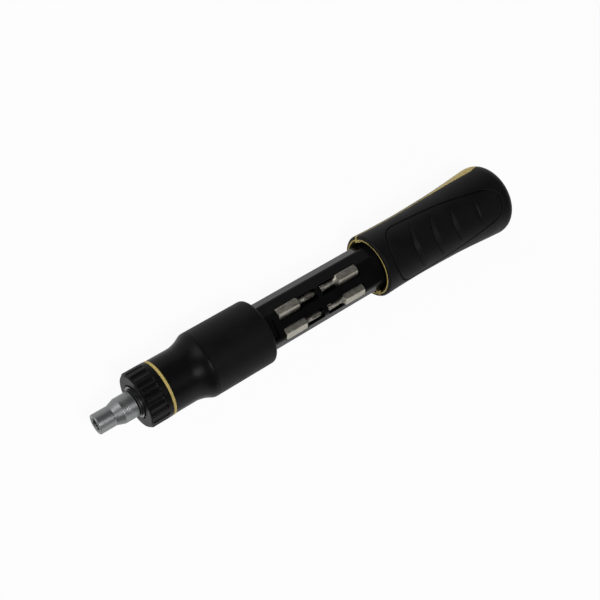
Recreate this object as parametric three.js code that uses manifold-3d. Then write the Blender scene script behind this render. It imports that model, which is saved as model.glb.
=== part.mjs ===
// A ratchet screwdriver that keeps its bits on a barrel inside the handle, drawn with the handle pulled open.
// The tool lies along X with its tip towards +X, and its two bit facets face +Z and -Z.
// A station is a distance back from the tip's face along the tool's axis, in millimetres.
// An angle round the axis is counted from +Z by the right hand about +X.

import * as THREE from "three";
import { mergeVertices } from "three/addons/utils/BufferGeometryUtils.js";
import Module from "manifold-3d";

const wasm = await Module();
wasm.setup();

// Fits: the gap between neighbours, how far cutting shapes overrun, and the merging distance of points
const gap = 0.3;
const overrun = 1.5;
const mergeShare = 0.0001;

// Bit holder and the spindle that turns it
const holderWall = 1.7;
const holderStep = 1.5;
const holderFrontLength = 9;
const holderConeLength = 4.6;
const holderRearLength = 7.8;
const holderEdge = 0.4;
const bitAcrossFlats = 6.35;
const socketClearance = 0.075;
const socketDepth = 11;
const magnetLength = 2;
const magnetStep = 0.375;
const holderWeb = 1;
const spindleRadius = 4.5;
const tenonStep = 1.5;
const spindleTailStep = 1.3;
const spindleTailOverhang = 4.2;

// Ratchet cage: nose, front hub, posts and base
const noseWall = 1.2;
const noseProud = 1.3;
const hubLength = 7.5;
const cageEndSpace = 0.8;
const basePlate = 2.5;
const bushingWall = 1.3;
const frontBushingLength = 10;
const postRadius = 1.5;
const postAngles = [180, 125, -125];
const cageScrewRadius = 0.6;
const cageScrewHeadRadius = 1.1;
const cageScrewHead = 0.9;
const cageScrewBite = 2;
const clipWidth = 1;
const clipWall = 1.3;
const clipGrooveDepth = 0.7;
const clipOpeningDegrees = 113;
const clipTurnDegrees = 191.5;
const clipEarRadius = 0.95;

// Gear and pawls
const gearWall = 1.9;
const toothDepth = 1.2;
const toothCount = 24;
const toothTipShare = 0.15;
const toothRootShare = 0.85;
const pawlWidth = 6.4;
const pawlReach = 0.45;
const pawlNoseDegrees = 30;
const noseAsideDegrees = 2.2;
const noseTipDegrees = 0.4;
const noseTailDegrees = 4;
const noseHeelDegrees = 5;
const pawlPivotDegrees = 80;
const pawlPivotStand = 1.5;
const pawlThickness = 1.6;
const pawlPinRadius = 0.7;
const pawlBossRadius = 1.3;
const pawlSpringWire = 0.4;
const pawlSpringLength = 1.1;
const washerThickness = 0.6;
const washerWall = 2.2;

// Selector ring, its cam and its click ball
const selectorProud = 0.25;
const selectorSkirt = 2.9;
const selectorChamfer = 1.2;
const selectorFloorDepth = 9.7;
const fluteCount = 18;
const fluteRadius = 3;
const fluteDepth = 0.9;
const fluteLength = 8;
const camWall = 1.6;
const camRelief = 0.2;
const camStand = 2.1;
const camRisePerDegree = 0.03;
const camReachDegrees = 24;
const camClearance = 1;
const camSteps = 36;
const camLugCount = 3;
const camLugDegrees = 20;
const camLugLength = 2;
const clickBallRadius = 1;
const clickBallStand = 0.4;
const clickTurnDegrees = 20;
const clickBallAngle = 62;
const clickTravel = 0.3;
const clickHoleDepth = 5.5;
const clickSpringRadius = 0.8;
const trackShare = 0.95;

// Front housing, band and collar
const bandWidth = 1.5;
const bandProud = 0.15;
const neckWall = 1.8;
const neckLength = 12.9;
const flareLength = 10.5;
const flareShares = [[0, 0], [0.18, 0.07], [0.38, 0.22], [0.58, 0.43], [0.79, 0.77], [0.92, 0.965], [1, 1]];
const housingWall = 1.8;
const housingWeb = 6;
const screwSpace = 3.2;
const housingScrewRadius = 1.2;
const housingScrewHeadRadius = 2.1;
const housingScrewHead = 1.6;
const housingScrewRing = 9;
const housingScrewAngles = [0, 152, -152];
const collarWall = 2.05;
const collarLength = 37.4;
const collarFillet = 3;
const collarRearWall = 1.8;
const collarCoreWall = 2.54;

// Bit barrel with its pockets
const barrelAcrossFlats = 25.4;
const barrelEdgeRadius = 3.5;
const barrelSides = 8;
const barrelEdgeShares = [-1, -0.33, 0.33, 1];
const barrelTail = 8.5;
const rowLand = 4.31;
const rowSink = 3.5;
const bitLength = 25.4;
const bitTipSpace = 3.7;
const bitsFromCollar = 9.1;
const bitsToMouth = 13.3;
const latchFromCollar = 1.2;
const latchWidth = 4.2;
const latchDepth = 1.5;
const latchBreadth = 10.4;
const bitHexLength = 14.2;
const bitNeckLength = 1.6;
const bitShankRadius = 1.75;
const bitTipRadius = 1.1;
const bitConeLength = 1.6;
const bitEdge = 0.5;
const crossShares = [0.62, 0.98];
const starShares = [0.25, 1];
const tieRodRadius = 2;
const tieRodNutAcross = 7;
const tieRodNut = 2;
const tieRodBite = 3.5;

// Handle: travel, lip, shell, grip and the stop that runs inside it
const handleEndLength = 5.7;
const handleWall = 6.48;
const gripShares = [
  [0, 0.383], [0.006, 0.484], [0.014, 0.527], [0.031, 0.553], [0.11, 0.515], [0.2, 0.499], [0.3, 0.499],
  [0.373, 0.53], [0.468, 0.566], [0.592, 0.646], [0.718, 0.785], [0.803, 0.9], [0.888, 1], [0.928, 0.939],
];
const edgePoints = 3;
const buttFlatRadius = 6;
const buttSteps = 4;
const gripThickness = 1.3;
const lipFunnel = 2.2;
const lipFaceWidth = 1.1;
const lipFlange = 3;
const lipSpigotWall = 1.2;
const lipSpigotLength = 5.3;
const seamTurnDegrees = 94;
const seamShares = [
  [0, 0.1], [0.5, 0.115], [0.57, 0.23], [0.64, 0.38], [0.7, 0.54], [0.77, 0.77], [0.835, 1],
  [0.87, 0.96], [0.91, 0.8], [0.93, 0.5], [0.945, 0],
];
const seamHalfWidth = 5.2;
const stopCatch = 0.4;
const stopClearance = 0.2;
const stopLength = 6;
const keyWidth = 3;
const keyStand = 0.7;
const slideBallRadius = 1.5;
const slideBallStand = 0.5;
const slideBallTravel = 0.3;
const slideSpringLength = 5;
const slideSpringRadius = 1.2;

// Facets of turned pieces
const roundSides = 32;
const shaftSides = 16;
const smallSides = 8;
const pinSides = 4;
const hexSides = 6;
const sectorStepDegrees = 12;
const filletSteps = 4;

// Widths across the axis, from the spindle outwards
const degrees = Math.PI / 180;
const cornerShare = 1 / Math.cos(Math.PI / hexSides);
const holderFrontRadius = (bitAcrossFlats / 2 + socketClearance) * cornerShare + holderWall;
const holderRearRadius = holderFrontRadius + holderStep;
const magnetRadius = bitAcrossFlats / 2 - magnetStep;
const tenonAcrossFlats = 2 * (spindleRadius - tenonStep);
const spindleTailRadius = spindleRadius - spindleTailStep;
const bushingOuter = spindleRadius + gap + bushingWall;
const bushingBore = bushingOuter + gap;
const noseRadius = bushingBore + noseWall;
const gearRootRadius = spindleRadius + gearWall;
const gearTip = gearRootRadius + toothDepth;
const pawlPivotRadius = gearTip + pawlPivotStand;
const camMiddleRadius = pawlPivotRadius + camStand;
const camInnerRadius = camMiddleRadius + camRelief;
const camOuterRadius = camInnerRadius + camWall;
const hubRadius = camInnerRadius - gap;
const clickRingRadius = (noseRadius + hubRadius) / 2;
const cageBore = camOuterRadius + gap;
const neckRadius = cageBore + neckWall;
const bandRadius = neckRadius + bandProud;
const selectorRadius = neckRadius + selectorProud;
const barrelBoreRadius = tieRodRadius + gap;
const barrelCornerRing = (barrelAcrossFlats / 2 - barrelEdgeRadius) / Math.cos(Math.PI / barrelSides);
const collarCoreRadius = barrelCornerRing + barrelEdgeRadius + gap + collarCoreWall;
const collarRadius = collarCoreRadius + collarWall;
const bitCorner = (bitAcrossFlats / 2) * cornerShare;
const rowHeight = barrelAcrossFlats / 2 - rowSink;
const rowSpacing = bitAcrossFlats + 2 * gap + rowLand;
const bitReach = Math.hypot((rowSpacing + bitAcrossFlats) / 2, rowHeight + bitCorner / 2);
const lipBoreRadius = Math.max(bitReach, barrelCornerRing + barrelEdgeRadius) + gap;
const stopRadius = lipBoreRadius + stopCatch;
const handleBoreRadius = stopRadius + stopClearance;
const handleRadius = handleBoreRadius + handleWall;

// Stations along the axis, each from the one before it
const selectorLength = selectorFloorDepth + selectorSkirt;
const cageLength = 3 * gap + washerThickness + pawlWidth + pawlSpringLength + cageEndSpace;
const handleTravel = bitsFromCollar + 2 * bitLength + bitTipSpace + bitsToMouth;
const holderEnd = holderFrontLength + holderConeLength + holderRearLength;
const noseStart = holderEnd + gap;
const selectorStart = noseStart + noseProud;
const selectorEnd = selectorStart + selectorLength;
const bandStart = selectorEnd + gap;
const neckStart = bandStart + bandWidth;
const flareStart = neckStart + neckLength;
const collarStart = flareStart + flareLength;
const collarEnd = collarStart + collarLength;
const mouth = collarEnd + gap + handleTravel;
const selectorFloor = selectorStart + selectorFloorDepth;
const hubStart = selectorFloor + gap;
const cageStart = hubStart + hubLength;
const baseStart = cageStart + cageLength;
const baseEnd = baseStart + basePlate;
const webStart = baseEnd + screwSpace;
const webEnd = webStart + housingWeb;
const barrelStart = webEnd + gap;
const barrelEnd = mouth + barrelTail;
const stopEnd = barrelEnd + stopLength;
const bitsStart = collarEnd + bitsFromCollar;
const bitsEnd = bitsStart + 2 * bitLength + bitTipSpace;
const boreEnd = stopEnd + tieRodNut + gap + handleTravel + gap;
const toolEnd = boreEnd + handleEndLength;
const handleLength = toolEnd - mouth;
const domeStart = mouth + gripShares.at(-1)[0] * handleLength;
const pawlStart = cageStart + gap + washerThickness + gap;
const pawlEnd = pawlStart + pawlWidth;
const camEnd = baseStart - camClearance;

// The flats of a turned piece lie straight down, so the widest ring stands this far above the floor
const axisHeight = handleRadius * Math.cos(Math.PI / roundSides);

const pairSides = [1, -1];

// A closed geometry as a solid, with its doubled points merged and its empty faces dropped
function toSolid(geometry) {
  const bare = geometry.clone();
  bare.deleteAttribute("normal");
  bare.deleteAttribute("uv");
  const merged = mergeVertices(bare, mergeShare * gap);
  const index = merged.index.array;
  const kept = [];
  for (let i = 0; i < index.length; i += 3) {
    const [a, b, c] = [index[i], index[i + 1], index[i + 2]];
    if (a !== b && b !== c && c !== a) kept.push(a, b, c);
  }
  return new wasm.Manifold(new wasm.Mesh({
    numProp: 3,
    vertProperties: merged.attributes.position.array,
    triVerts: new Uint32Array(kept),
  }));
}

const join = (first, ...others) => others.reduce((sum, other) => sum.add(other), first);
const cut = (body, ...tools) => tools.reduce((rest, tool) => rest.subtract(tool), body);

// The unit direction at an angle round the axis
const around = (angle) => new THREE.Vector3(0, -Math.sin(angle * degrees), Math.cos(angle * degrees));

// A piece turned about the tool's axis from [station, radius] points in the order of the closed outline
function turned(points, sides = roundSides) {
  const outline = points.map(([station, radius]) => new THREE.Vector2(radius, -station));
  const last = outline.at(-1);
  if (outline[0].x > 0 || last.x > 0) outline.push(outline[0].clone());
  const area = THREE.ShapeUtils.area(outline);
  if (area < 0) outline.reverse();
  const geometry = new THREE.LatheGeometry(outline, sides, Math.PI / sides);
  return toSolid(geometry.rotateZ(-Math.PI / 2));
}

// A plain tube or rod about the tool's axis
function tube(start, end, outer, inner, sides = roundSides) {
  if (inner === 0) return turned([[start, 0], [start, outer], [end, outer], [end, 0]], sides);
  return turned([[start, inner], [start, outer], [end, outer], [end, inner]], sides);
}

// A flat shape in Y and Z drawn out along the axis between two stations
function prism(shape, start, end) {
  const geometry = new THREE.ExtrudeGeometry(shape, { depth: end - start, bevelEnabled: false });
  geometry.rotateX(Math.PI / 2).rotateZ(Math.PI / 2);
  return toSolid(geometry.translate(-end, 0, 0));
}

// A flat outline from [angle, radius] points round the axis
function flatShape(points) {
  return new THREE.Shape(points.map(([angle, radius]) => {
    const point = around(angle).multiplyScalar(radius);
    return new THREE.Vector2(point.y, point.z);
  }));
}

// A regular polygon of a width across flats, with a corner on +Z
function polygon(acrossFlats, sides) {
  const radius = acrossFlats / 2 / Math.cos(Math.PI / sides);
  return flatShape(Array.from({ length: sides }, (_, i) => [(360 / sides) * i, radius]));
}

// A rod parallel to the axis, off to one side of it
function sideRod(radius, start, end, ring, angle, sides = smallSides) {
  const geometry = new THREE.CylinderGeometry(radius, radius, end - start, sides).rotateZ(Math.PI / 2);
  const side = around(angle).multiplyScalar(ring);
  return toSolid(geometry.translate(-(start + end) / 2, side.y, side.z));
}

// A rod that points straight out from the axis, between two radii
function spoke(radius, inner, outer, station, angle, sides = smallSides) {
  const geometry = new THREE.CylinderGeometry(radius, radius, outer - inner, sides);
  geometry.translate(0, (inner + outer) / 2, 0).rotateX(Math.PI / 2 + angle * degrees);
  return toSolid(geometry.translate(-station, 0, 0));
}

// A block given by its lowest and highest corners
function block(low, high) {
  const size = high.map((value, i) => value - low[i]);
  const middle = high.map((value, i) => (value + low[i]) / 2);
  return toSolid(new THREE.BoxGeometry(...size).translate(...middle));
}

function ball(radius, centre) {
  return toSolid(new THREE.SphereGeometry(radius, smallSides, smallSides / 2).translate(...centre.toArray()));
}

// A sector of a ring between two angles
function sector(inner, outer, from, to, start, end) {
  const steps = Math.max(2, Math.ceil((to - from) / sectorStepDegrees));
  const angles = Array.from({ length: steps + 1 }, (_, i) => from + ((to - from) * i) / steps);
  const side = (radius) => angles.map((angle) => [angle, radius]);
  return prism(flatShape([...side(outer), ...side(inner).reverse()]), start, end);
}

// Bit holder: front cylinder, cone and rear cylinder, with a hex socket in front and a tenon socket behind
const magnetStart = socketDepth + gap;
const magnetPocketEnd = magnetStart + magnetLength + gap;
const tenonStart = magnetPocketEnd + holderWeb;

function makeBitHolder() {
  const coneStart = holderFrontLength;
  const coneEnd = holderFrontLength + holderConeLength;
  const body = turned([
    [0, 0], [0, holderFrontRadius - holderEdge], [holderEdge, holderFrontRadius],
    [coneStart, holderFrontRadius], [coneEnd, holderRearRadius - holderEdge],
    [coneEnd + holderEdge, holderRearRadius], [holderEnd, holderRearRadius], [holderEnd, 0],
  ], shaftSides);
  return cut(
    body,
    prism(polygon(bitAcrossFlats + 2 * socketClearance, hexSides), -overrun, socketDepth),
    tube(socketDepth - gap, magnetPocketEnd, magnetRadius + gap, 0, smallSides),
    prism(polygon(tenonAcrossFlats + 2 * gap, hexSides), tenonStart, holderEnd + overrun),
  );
}

function makeMagnet() {
  return tube(magnetStart, magnetStart + magnetLength, magnetRadius, 0, smallSides);
}

// The spindle's hex seats carry the holder in front and the gear inside the cage
const gearSeatAcross = (2 * spindleRadius) / cornerShare;
const gearStart = pawlStart - gap;
const gearEnd = pawlEnd + gap;

function makeSpindle() {
  return join(
    prism(polygon(tenonAcrossFlats, hexSides), tenonStart + gap, noseStart),
    tube(noseStart - gap / 2, cageStart, spindleRadius, 0, shaftSides),
    prism(polygon(gearSeatAcross, hexSides), cageStart - gap, gearEnd + gap),
    tube(gearEnd, baseEnd + spindleTailOverhang - gap, spindleTailRadius, 0, shaftSides),
  );
}

function gearOutline() {
  const pitch = 360 / toothCount;
  const tipHalf = (toothTipShare * pitch) / 2;
  const rootHalf = (toothRootShare * pitch) / 2;
  const tooth = [
    [-rootHalf, gearRootRadius], [-tipHalf, gearTip], [tipHalf, gearTip], [rootHalf, gearRootRadius],
  ];
  const teeth = Array.from({ length: toothCount }, (_, i) => (i + 1 / 2) * pitch);
  return flatShape(teeth.flatMap((middle) => tooth.map(([angle, radius]) => [middle + angle, radius])));
}

function makeGear() {
  return cut(
    prism(gearOutline(), gearStart, gearEnd),
    prism(polygon(gearSeatAcross + 2 * gap, hexSides), gearStart - overrun, gearEnd + overrun),
  );
}

function makeThrustWasher() {
  const start = cageStart + gap / 2;
  const inner = spindleRadius + gap;
  return tube(start, start + washerThickness, inner + washerWall, inner, shaftSides);
}

// Rods on the cage's ring of pins and posts
const pinHole = (side, start, end) => sideRod(
  pawlPinRadius + gap, start, end, pawlPivotRadius, side * pawlPivotDegrees,
);
const screwHole = (angle, start, end) => sideRod(
  cageScrewRadius + gap, start, end, pawlPivotRadius, angle, pinSides,
);

// Nose: the tube that the selector turns on, with the front hub of the cage behind it
const frontBushingStart = noseStart + gap;
const clipStart = selectorStart - clipWidth / 2;
const hubBoreRadius = spindleRadius + gap;
const clickHoleRadius = clickBallRadius + gap / 2;

function makeNose() {
  const bushingEnd = frontBushingStart + frontBushingLength + gap;
  const body = turned([
    [noseStart, bushingBore], [noseStart, noseRadius],
    [clipStart - gap, noseRadius], [clipStart - gap, noseRadius - clipGrooveDepth],
    [clipStart + clipWidth + gap, noseRadius - clipGrooveDepth], [clipStart + clipWidth + gap, noseRadius],
    [hubStart, noseRadius], [hubStart, hubRadius], [cageStart, hubRadius], [cageStart, hubBoreRadius],
    [bushingEnd, hubBoreRadius], [bushingEnd, bushingBore],
  ], shaftSides);
  const pinHoles = pairSides.map((side) => pinHole(side, cageStart - basePlate, cageStart + overrun));
  const bite = cageStart - cageScrewBite - gap;
  const screwHoles = postAngles.map((angle) => screwHole(angle, bite, cageStart + overrun));
  const clickHole = sideRod(
    clickHoleRadius, hubStart - overrun, hubStart + clickHoleDepth, clickRingRadius, clickBallAngle,
  );
  return cut(body, ...pinHoles, ...screwHoles, clickHole);
}

function makeFrontBushing() {
  const end = frontBushingStart + frontBushingLength;
  return tube(frontBushingStart, end, bushingOuter, spindleRadius + gap, shaftSides);
}

// The open ring that holds the selector on the nose, with its two ears
function makeClip() {
  const inner = noseRadius - clipGrooveDepth + gap;
  const outer = inner + clipWall;
  const half = clipOpeningDegrees / 2;
  const opening = clipTurnDegrees;
  const ring = sector(inner, outer, opening + half, opening + 360 - half, clipStart, clipStart + clipWidth);
  const earRing = (inner + outer) / 2;
  const ears = pairSides.map((side) => sideRod(
    clipEarRadius, clipStart, clipStart + clipWidth, earRing, opening + side * half,
  ));
  return join(ring, ...ears);
}

// Base: the plate behind the gear with the posts that carry the hub
const tailBushingOuter = spindleTailRadius + gap + bushingWall;

function makeBase() {
  const posts = postAngles.map((angle) => sideRod(
    postRadius, cageStart, baseStart + gap, pawlPivotRadius, angle,
  ));
  const pinHoles = pairSides.map((side) => pinHole(side, baseStart - overrun, baseEnd + overrun));
  const screwHoles = postAngles.map((angle) => screwHole(angle, cageStart - overrun, baseEnd + overrun));
  const housingHoles = housingScrewAngles.map((angle) => sideRod(
    housingScrewRadius + gap, baseStart + gap, baseEnd + overrun, housingScrewRing, angle,
  ));
  const plate = tube(baseStart, baseEnd, camOuterRadius, tailBushingOuter + gap, shaftSides);
  return cut(join(plate, ...posts), ...pinHoles, ...screwHoles, ...housingHoles);
}

function makeTailBushing() {
  return tube(baseStart, baseEnd, tailBushingOuter, spindleTailRadius + gap, shaftSides);
}

function makePawlPin(side) {
  const start = cageStart - basePlate + gap;
  return sideRod(pawlPinRadius, start, baseEnd, pawlPivotRadius, side * pawlPivotDegrees);
}

function makeCageScrew(angle) {
  const start = cageStart - cageScrewBite;
  return join(
    sideRod(cageScrewRadius, start, baseEnd + gap, pawlPivotRadius, angle, pinSides),
    sideRod(cageScrewHeadRadius, baseEnd, baseEnd + cageScrewHead, pawlPivotRadius, angle, pinSides),
  );
}

// Pawl: an arm from its pivot to a nose that stands half way into the gear's teeth at rest.
// At full depth the nose stands in the middle of a tooth space, and it swings a little aside on the way.
const noseTip = gearTip - pawlReach;
const pawlInner = pawlPivotRadius - pawlThickness / 2;
const pawlOuter = pawlPivotRadius + pawlThickness / 2;
const followerRadius = camMiddleRadius - gap;

function makePawl(side) {
  const nose = pawlNoseDegrees + noseAsideDegrees;
  const tail = nose - noseTailDegrees;
  const between = (inner, outer, from, to) => (side > 0
    ? sector(inner, outer, from, to, pawlStart, pawlEnd)
    : sector(inner, outer, -to, -from, pawlStart, pawlEnd));
  const wedge = flatShape([
    [side * (nose - noseTipDegrees), noseTip], [side * (nose + noseTipDegrees), noseTip],
    [side * (nose + noseHeelDegrees), pawlInner + gap], [side * tail, pawlInner + gap],
  ]);
  const pivot = (radius, grow) => sideRod(
    radius, pawlStart - grow, pawlEnd + grow, pawlPivotRadius, side * pawlPivotDegrees,
  );
  const solid = join(
    between(pawlInner, pawlOuter, tail, pawlPivotDegrees),
    between(pawlOuter - gap, followerRadius, tail, nose + noseTailDegrees / 2),
    prism(wedge, pawlStart, pawlEnd),
    pivot(pawlBossRadius, 0),
  );
  return cut(solid, pivot(pawlPinRadius + gap / 2, overrun));
}

// A pawl's torsion spring sits round its pin, and stands here as a plain sleeve
function makePawlSpring(side) {
  const start = pawlEnd + gap;
  const ring = (radius, from, to) => sideRod(radius, from, to, pawlPivotRadius, side * pawlPivotDegrees);
  const inner = pawlPinRadius + gap / 2;
  return cut(
    ring(inner + pawlSpringWire, start, start + pawlSpringLength),
    ring(inner, start - overrun, start + pawlSpringLength + overrun),
  );
}

// Selector: the fluted ring in front, its floor track for the click ball, and slots for the cam's lugs
const selectorFlangeStart = selectorStart + selectorChamfer + fluteLength;
const selectorBore = noseRadius + gap;
const clipRecess = noseRadius + clipWall + 2 * gap;
const skirtRadius = camOuterRadius + gap;
const trackRadius = clickBallRadius * trackShare;
const clickAngles = [-clickTurnDegrees, 0, clickTurnDegrees].map((turn) => clickBallAngle + turn);

function makeSelector() {
  const body = turned([
    [selectorStart, clipRecess], [selectorStart, selectorRadius - selectorChamfer],
    [selectorStart + selectorChamfer, selectorRadius], [selectorEnd, selectorRadius],
    [selectorEnd, skirtRadius], [selectorFloor, skirtRadius], [selectorFloor, selectorBore],
    [clipStart + clipWidth + gap, selectorBore], [clipStart + clipWidth + gap, clipRecess],
  ], 2 * fluteCount);
  const flutes = Array.from({ length: fluteCount }, (_, i) => sideRod(
    fluteRadius, selectorStart - overrun, selectorFlangeStart, selectorRadius + fluteRadius - fluteDepth,
    (360 / fluteCount) * i, smallSides,
  ));
  const track = tube(
    selectorFloor - clickBallStand - gap / 2, selectorFloor + overrun,
    clickRingRadius + trackRadius, clickRingRadius - trackRadius, shaftSides,
  );
  const dimpleEnd = selectorFloor - clickBallStand - clickTravel - gap / 2;
  const dimples = clickAngles.map((angle) => sideRod(
    trackRadius, dimpleEnd, selectorFloor, clickRingRadius, angle, smallSides,
  ));
  const slots = Array.from({ length: camLugCount }, (_, i) => {
    const middle = (360 / camLugCount) * i;
    const half = camLugDegrees / 2 + gap / camInnerRadius / degrees;
    return sector(
      camInnerRadius - gap, camOuterRadius + gap, middle - half, middle + half,
      selectorFloor - camLugLength - gap, selectorFloor + gap,
    );
  });
  return cut(body, ...flutes, track, ...dimples, ...slots);
}

// Cam: the selector's tail. Its inner wall rises evenly round the axis over each pawl, so that turning
// the ring one way lets one pawl out of the gear and presses the other in.
function camRadiusAt(angle) {
  const fromTop = Math.abs(angle > 180 ? angle - 360 : angle);
  const fromNose = fromTop - pawlNoseDegrees;
  if (fromNose > camReachDegrees) return camInnerRadius;
  return camMiddleRadius - camRisePerDegree * Math.max(fromNose, -camReachDegrees);
}

function makeCam() {
  const angles = Array.from({ length: camSteps }, (_, i) => (360 / camSteps) * i);
  const inner = flatShape(angles.map((angle) => [angle, camRadiusAt(angle)]));
  const wall = cut(
    tube(pawlStart - gap, camEnd, camOuterRadius, 0),
    prism(inner, pawlStart - overrun, camEnd + overrun),
  );
  const front = tube(selectorFloor, pawlStart, camOuterRadius, camInnerRadius);
  const lugs = Array.from({ length: camLugCount }, (_, i) => {
    const middle = (360 / camLugCount) * i;
    return sector(
      camInnerRadius, camOuterRadius, middle - camLugDegrees / 2, middle + camLugDegrees / 2,
      selectorFloor - camLugLength, selectorFloor + gap,
    );
  });
  return join(wall, front, ...lugs);
}

const clickBallStation = selectorFloor - clickBallStand + clickBallRadius;

function makeClickBall() {
  const centre = around(clickBallAngle).multiplyScalar(clickRingRadius).setX(-clickBallStation);
  return ball(clickBallRadius, centre);
}

function makeClickSpring() {
  const start = clickBallStation + clickBallRadius + gap / 2;
  return sideRod(clickSpringRadius, start, hubStart + clickHoleDepth - gap, clickRingRadius, clickBallAngle);
}

// Front housing: neck, flare and the core under the collar, holding the cage in front and the barrel behind
const coreEnd = collarEnd - collarRearWall - gap;
const barrelShape = (grow) => roundedOctagon(barrelAcrossFlats + 2 * grow, barrelEdgeRadius + grow);

// An octagon with a facet on each of +Z, -Z, +Y and -Y, and its corners rounded
function roundedOctagon(acrossFlats, edgeRadius) {
  const half = 180 / barrelSides;
  const cornerRing = (acrossFlats / 2 - edgeRadius) / Math.cos(half * degrees);
  const corners = Array.from({ length: barrelSides }, (_, i) => half + 2 * half * i);
  return new THREE.Shape(corners.flatMap((corner) => barrelEdgeShares.map((share) => {
    const centre = around(corner).multiplyScalar(cornerRing);
    const point = centre.addScaledVector(around(corner + share * half), edgeRadius);
    return new THREE.Vector2(point.y, point.z);
  })));
}

function flarePoints() {
  const rise = collarRadius - neckRadius;
  return flareShares.map(([along, out]) => [flareStart + along * flareLength, neckRadius + out * rise]);
}

function makeHousing() {
  const shoulder = baseEnd + gap;
  const body = turned([
    [neckStart, cageBore], [neckStart, neckRadius], ...flarePoints(),
    [collarStart, collarCoreRadius], [coreEnd, collarCoreRadius], [coreEnd, 0], [webStart, 0],
    [webStart, cageBore - housingWall], [shoulder, cageBore - housingWall], [shoulder, cageBore],
  ]);
  const tailEnd = baseEnd + spindleTailOverhang + gap;
  const tailHole = tube(webStart - overrun, tailEnd, spindleTailRadius + gap, 0, smallSides);
  const rodHole = tube(webEnd - tieRodBite - gap, webEnd + overrun, tieRodRadius + gap, 0, smallSides);
  const socket = prism(barrelShape(gap), webEnd, coreEnd + overrun);
  const screwHoles = housingScrewAngles.map((angle) => sideRod(
    housingScrewRadius + gap, webStart - overrun, webEnd + overrun, housingScrewRing, angle,
  ));
  const headHoles = housingScrewAngles.map((angle) => sideRod(
    housingScrewHeadRadius + gap, webEnd - housingScrewHead, webEnd + overrun, housingScrewRing, angle,
  ));
  return cut(body, tailHole, rodHole, socket, ...screwHoles, ...headHoles);
}

function makeHousingScrew(angle) {
  const headStart = webEnd - housingScrewHead + gap;
  const headEnd = headStart + housingScrewHead - gap;
  return join(
    sideRod(housingScrewRadius, baseStart + 2 * gap, headStart + gap, housingScrewRing, angle, pinSides),
    sideRod(housingScrewHeadRadius, headStart, headEnd, housingScrewRing, angle),
  );
}

function makeBand() {
  return tube(bandStart, neckStart, bandRadius, cageBore);
}

function makeCollar() {
  const inner = collarCoreRadius + gap;
  const fillet = Array.from({ length: filletSteps + 1 }, (_, i) => {
    const turn = ((Math.PI / 2) * i) / filletSteps;
    const side = collarRadius - collarFillet * (1 - Math.cos(turn));
    return [collarEnd - collarFillet * (1 - Math.sin(turn)), side];
  });
  const body = turned([
    [collarStart + gap, inner], [collarStart + gap, collarRadius], ...fillet,
    [collarEnd, 0], [collarEnd - collarRearWall, 0], [collarEnd - collarRearWall, inner],
  ]);
  return cut(body, prism(barrelShape(gap), collarEnd - 2 * collarRearWall, collarEnd + overrun));
}

// Barrel: a rounded octagon with two rows of bit pockets on each of its two main facets
function pocket(row, face) {
  const half = bitAcrossFlats / 2 + gap;
  const narrow = bitShankRadius + bitEdge + gap;
  const reach = barrelAcrossFlats / 2;
  const low = face > 0 ? 0 : -reach;
  const hexEnds = [
    [bitsStart - gap, bitsStart + bitHexLength + gap],
    [bitsEnd - bitHexLength - gap, bitsEnd + gap],
  ];
  const seats = hexEnds.map(([start, end]) => join(
    prism(polygon(2 * half, hexSides), start, end),
    block([-end, -half, low], [-start, half, low + reach]),
  ));
  const sink = face > 0 ? -narrow : narrow - reach;
  const tips = block([-bitsEnd + gap, -narrow, sink], [-bitsStart - gap, narrow, sink + reach]);
  return join(tips, ...seats).translate([0, (row * rowSpacing) / 2, face * rowHeight]);
}

function makeBarrel() {
  const body = prism(barrelShape(0), barrelStart, barrelEnd);
  const pockets = pairSides.flatMap((row) => pairSides.map((face) => pocket(row, face)));
  const latchStart = collarEnd + latchFromCollar;
  const facet = barrelAcrossFlats / 2;
  const latches = pairSides.map((face) => block(
    [-latchStart - latchWidth, -latchBreadth / 2, face > 0 ? facet - latchDepth : -facet - overrun],
    [-latchStart, latchBreadth / 2, face > 0 ? facet + overrun : latchDepth - facet],
  ));
  const bore = tube(barrelStart - overrun, barrelEnd + overrun, barrelBoreRadius, 0, smallSides);
  return cut(body, ...pockets, ...latches, bore);
}

function makeTieRod() {
  return tube(webEnd - tieRodBite, stopEnd + tieRodNut, tieRodRadius, 0, smallSides);
}

function makeTieRodNut() {
  return cut(
    prism(polygon(tieRodNutAcross, hexSides), stopEnd, stopEnd + tieRodNut),
    tube(stopEnd - overrun, stopEnd + tieRodNut + overrun, tieRodRadius + gap, 0, smallSides),
  );
}

// One bit with its tip towards +X from its hex end at zero
const shankLength = bitLength - bitHexLength;

function bitBlank() {
  const hex = turned([
    [0, 0], [0, bitCorner - bitEdge], [bitEdge, bitCorner], [bitHexLength - bitEdge, bitCorner],
    [bitHexLength, bitCorner - bitEdge], [bitHexLength, 0],
  ], hexSides).rotate([180 / hexSides, 0, 0]);
  const shank = turned([
    [bitHexLength - bitEdge, 0], [bitHexLength - bitEdge, bitShankRadius + bitEdge],
    [bitHexLength + bitNeckLength, bitShankRadius], [bitLength - bitConeLength, bitShankRadius],
    [bitLength, bitTipRadius], [bitLength, 0],
  ], smallSides);
  return join(hex, shank);
}

function tipGrooves(count, width, ring, start) {
  const angles = Array.from({ length: count }, (_, i) => (360 / count) * (i + 1 / 2));
  return angles.map((angle) => sideRod(
    width * bitShankRadius, start, bitLength + overrun, ring * bitShankRadius, angle, pinSides,
  ));
}

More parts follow.
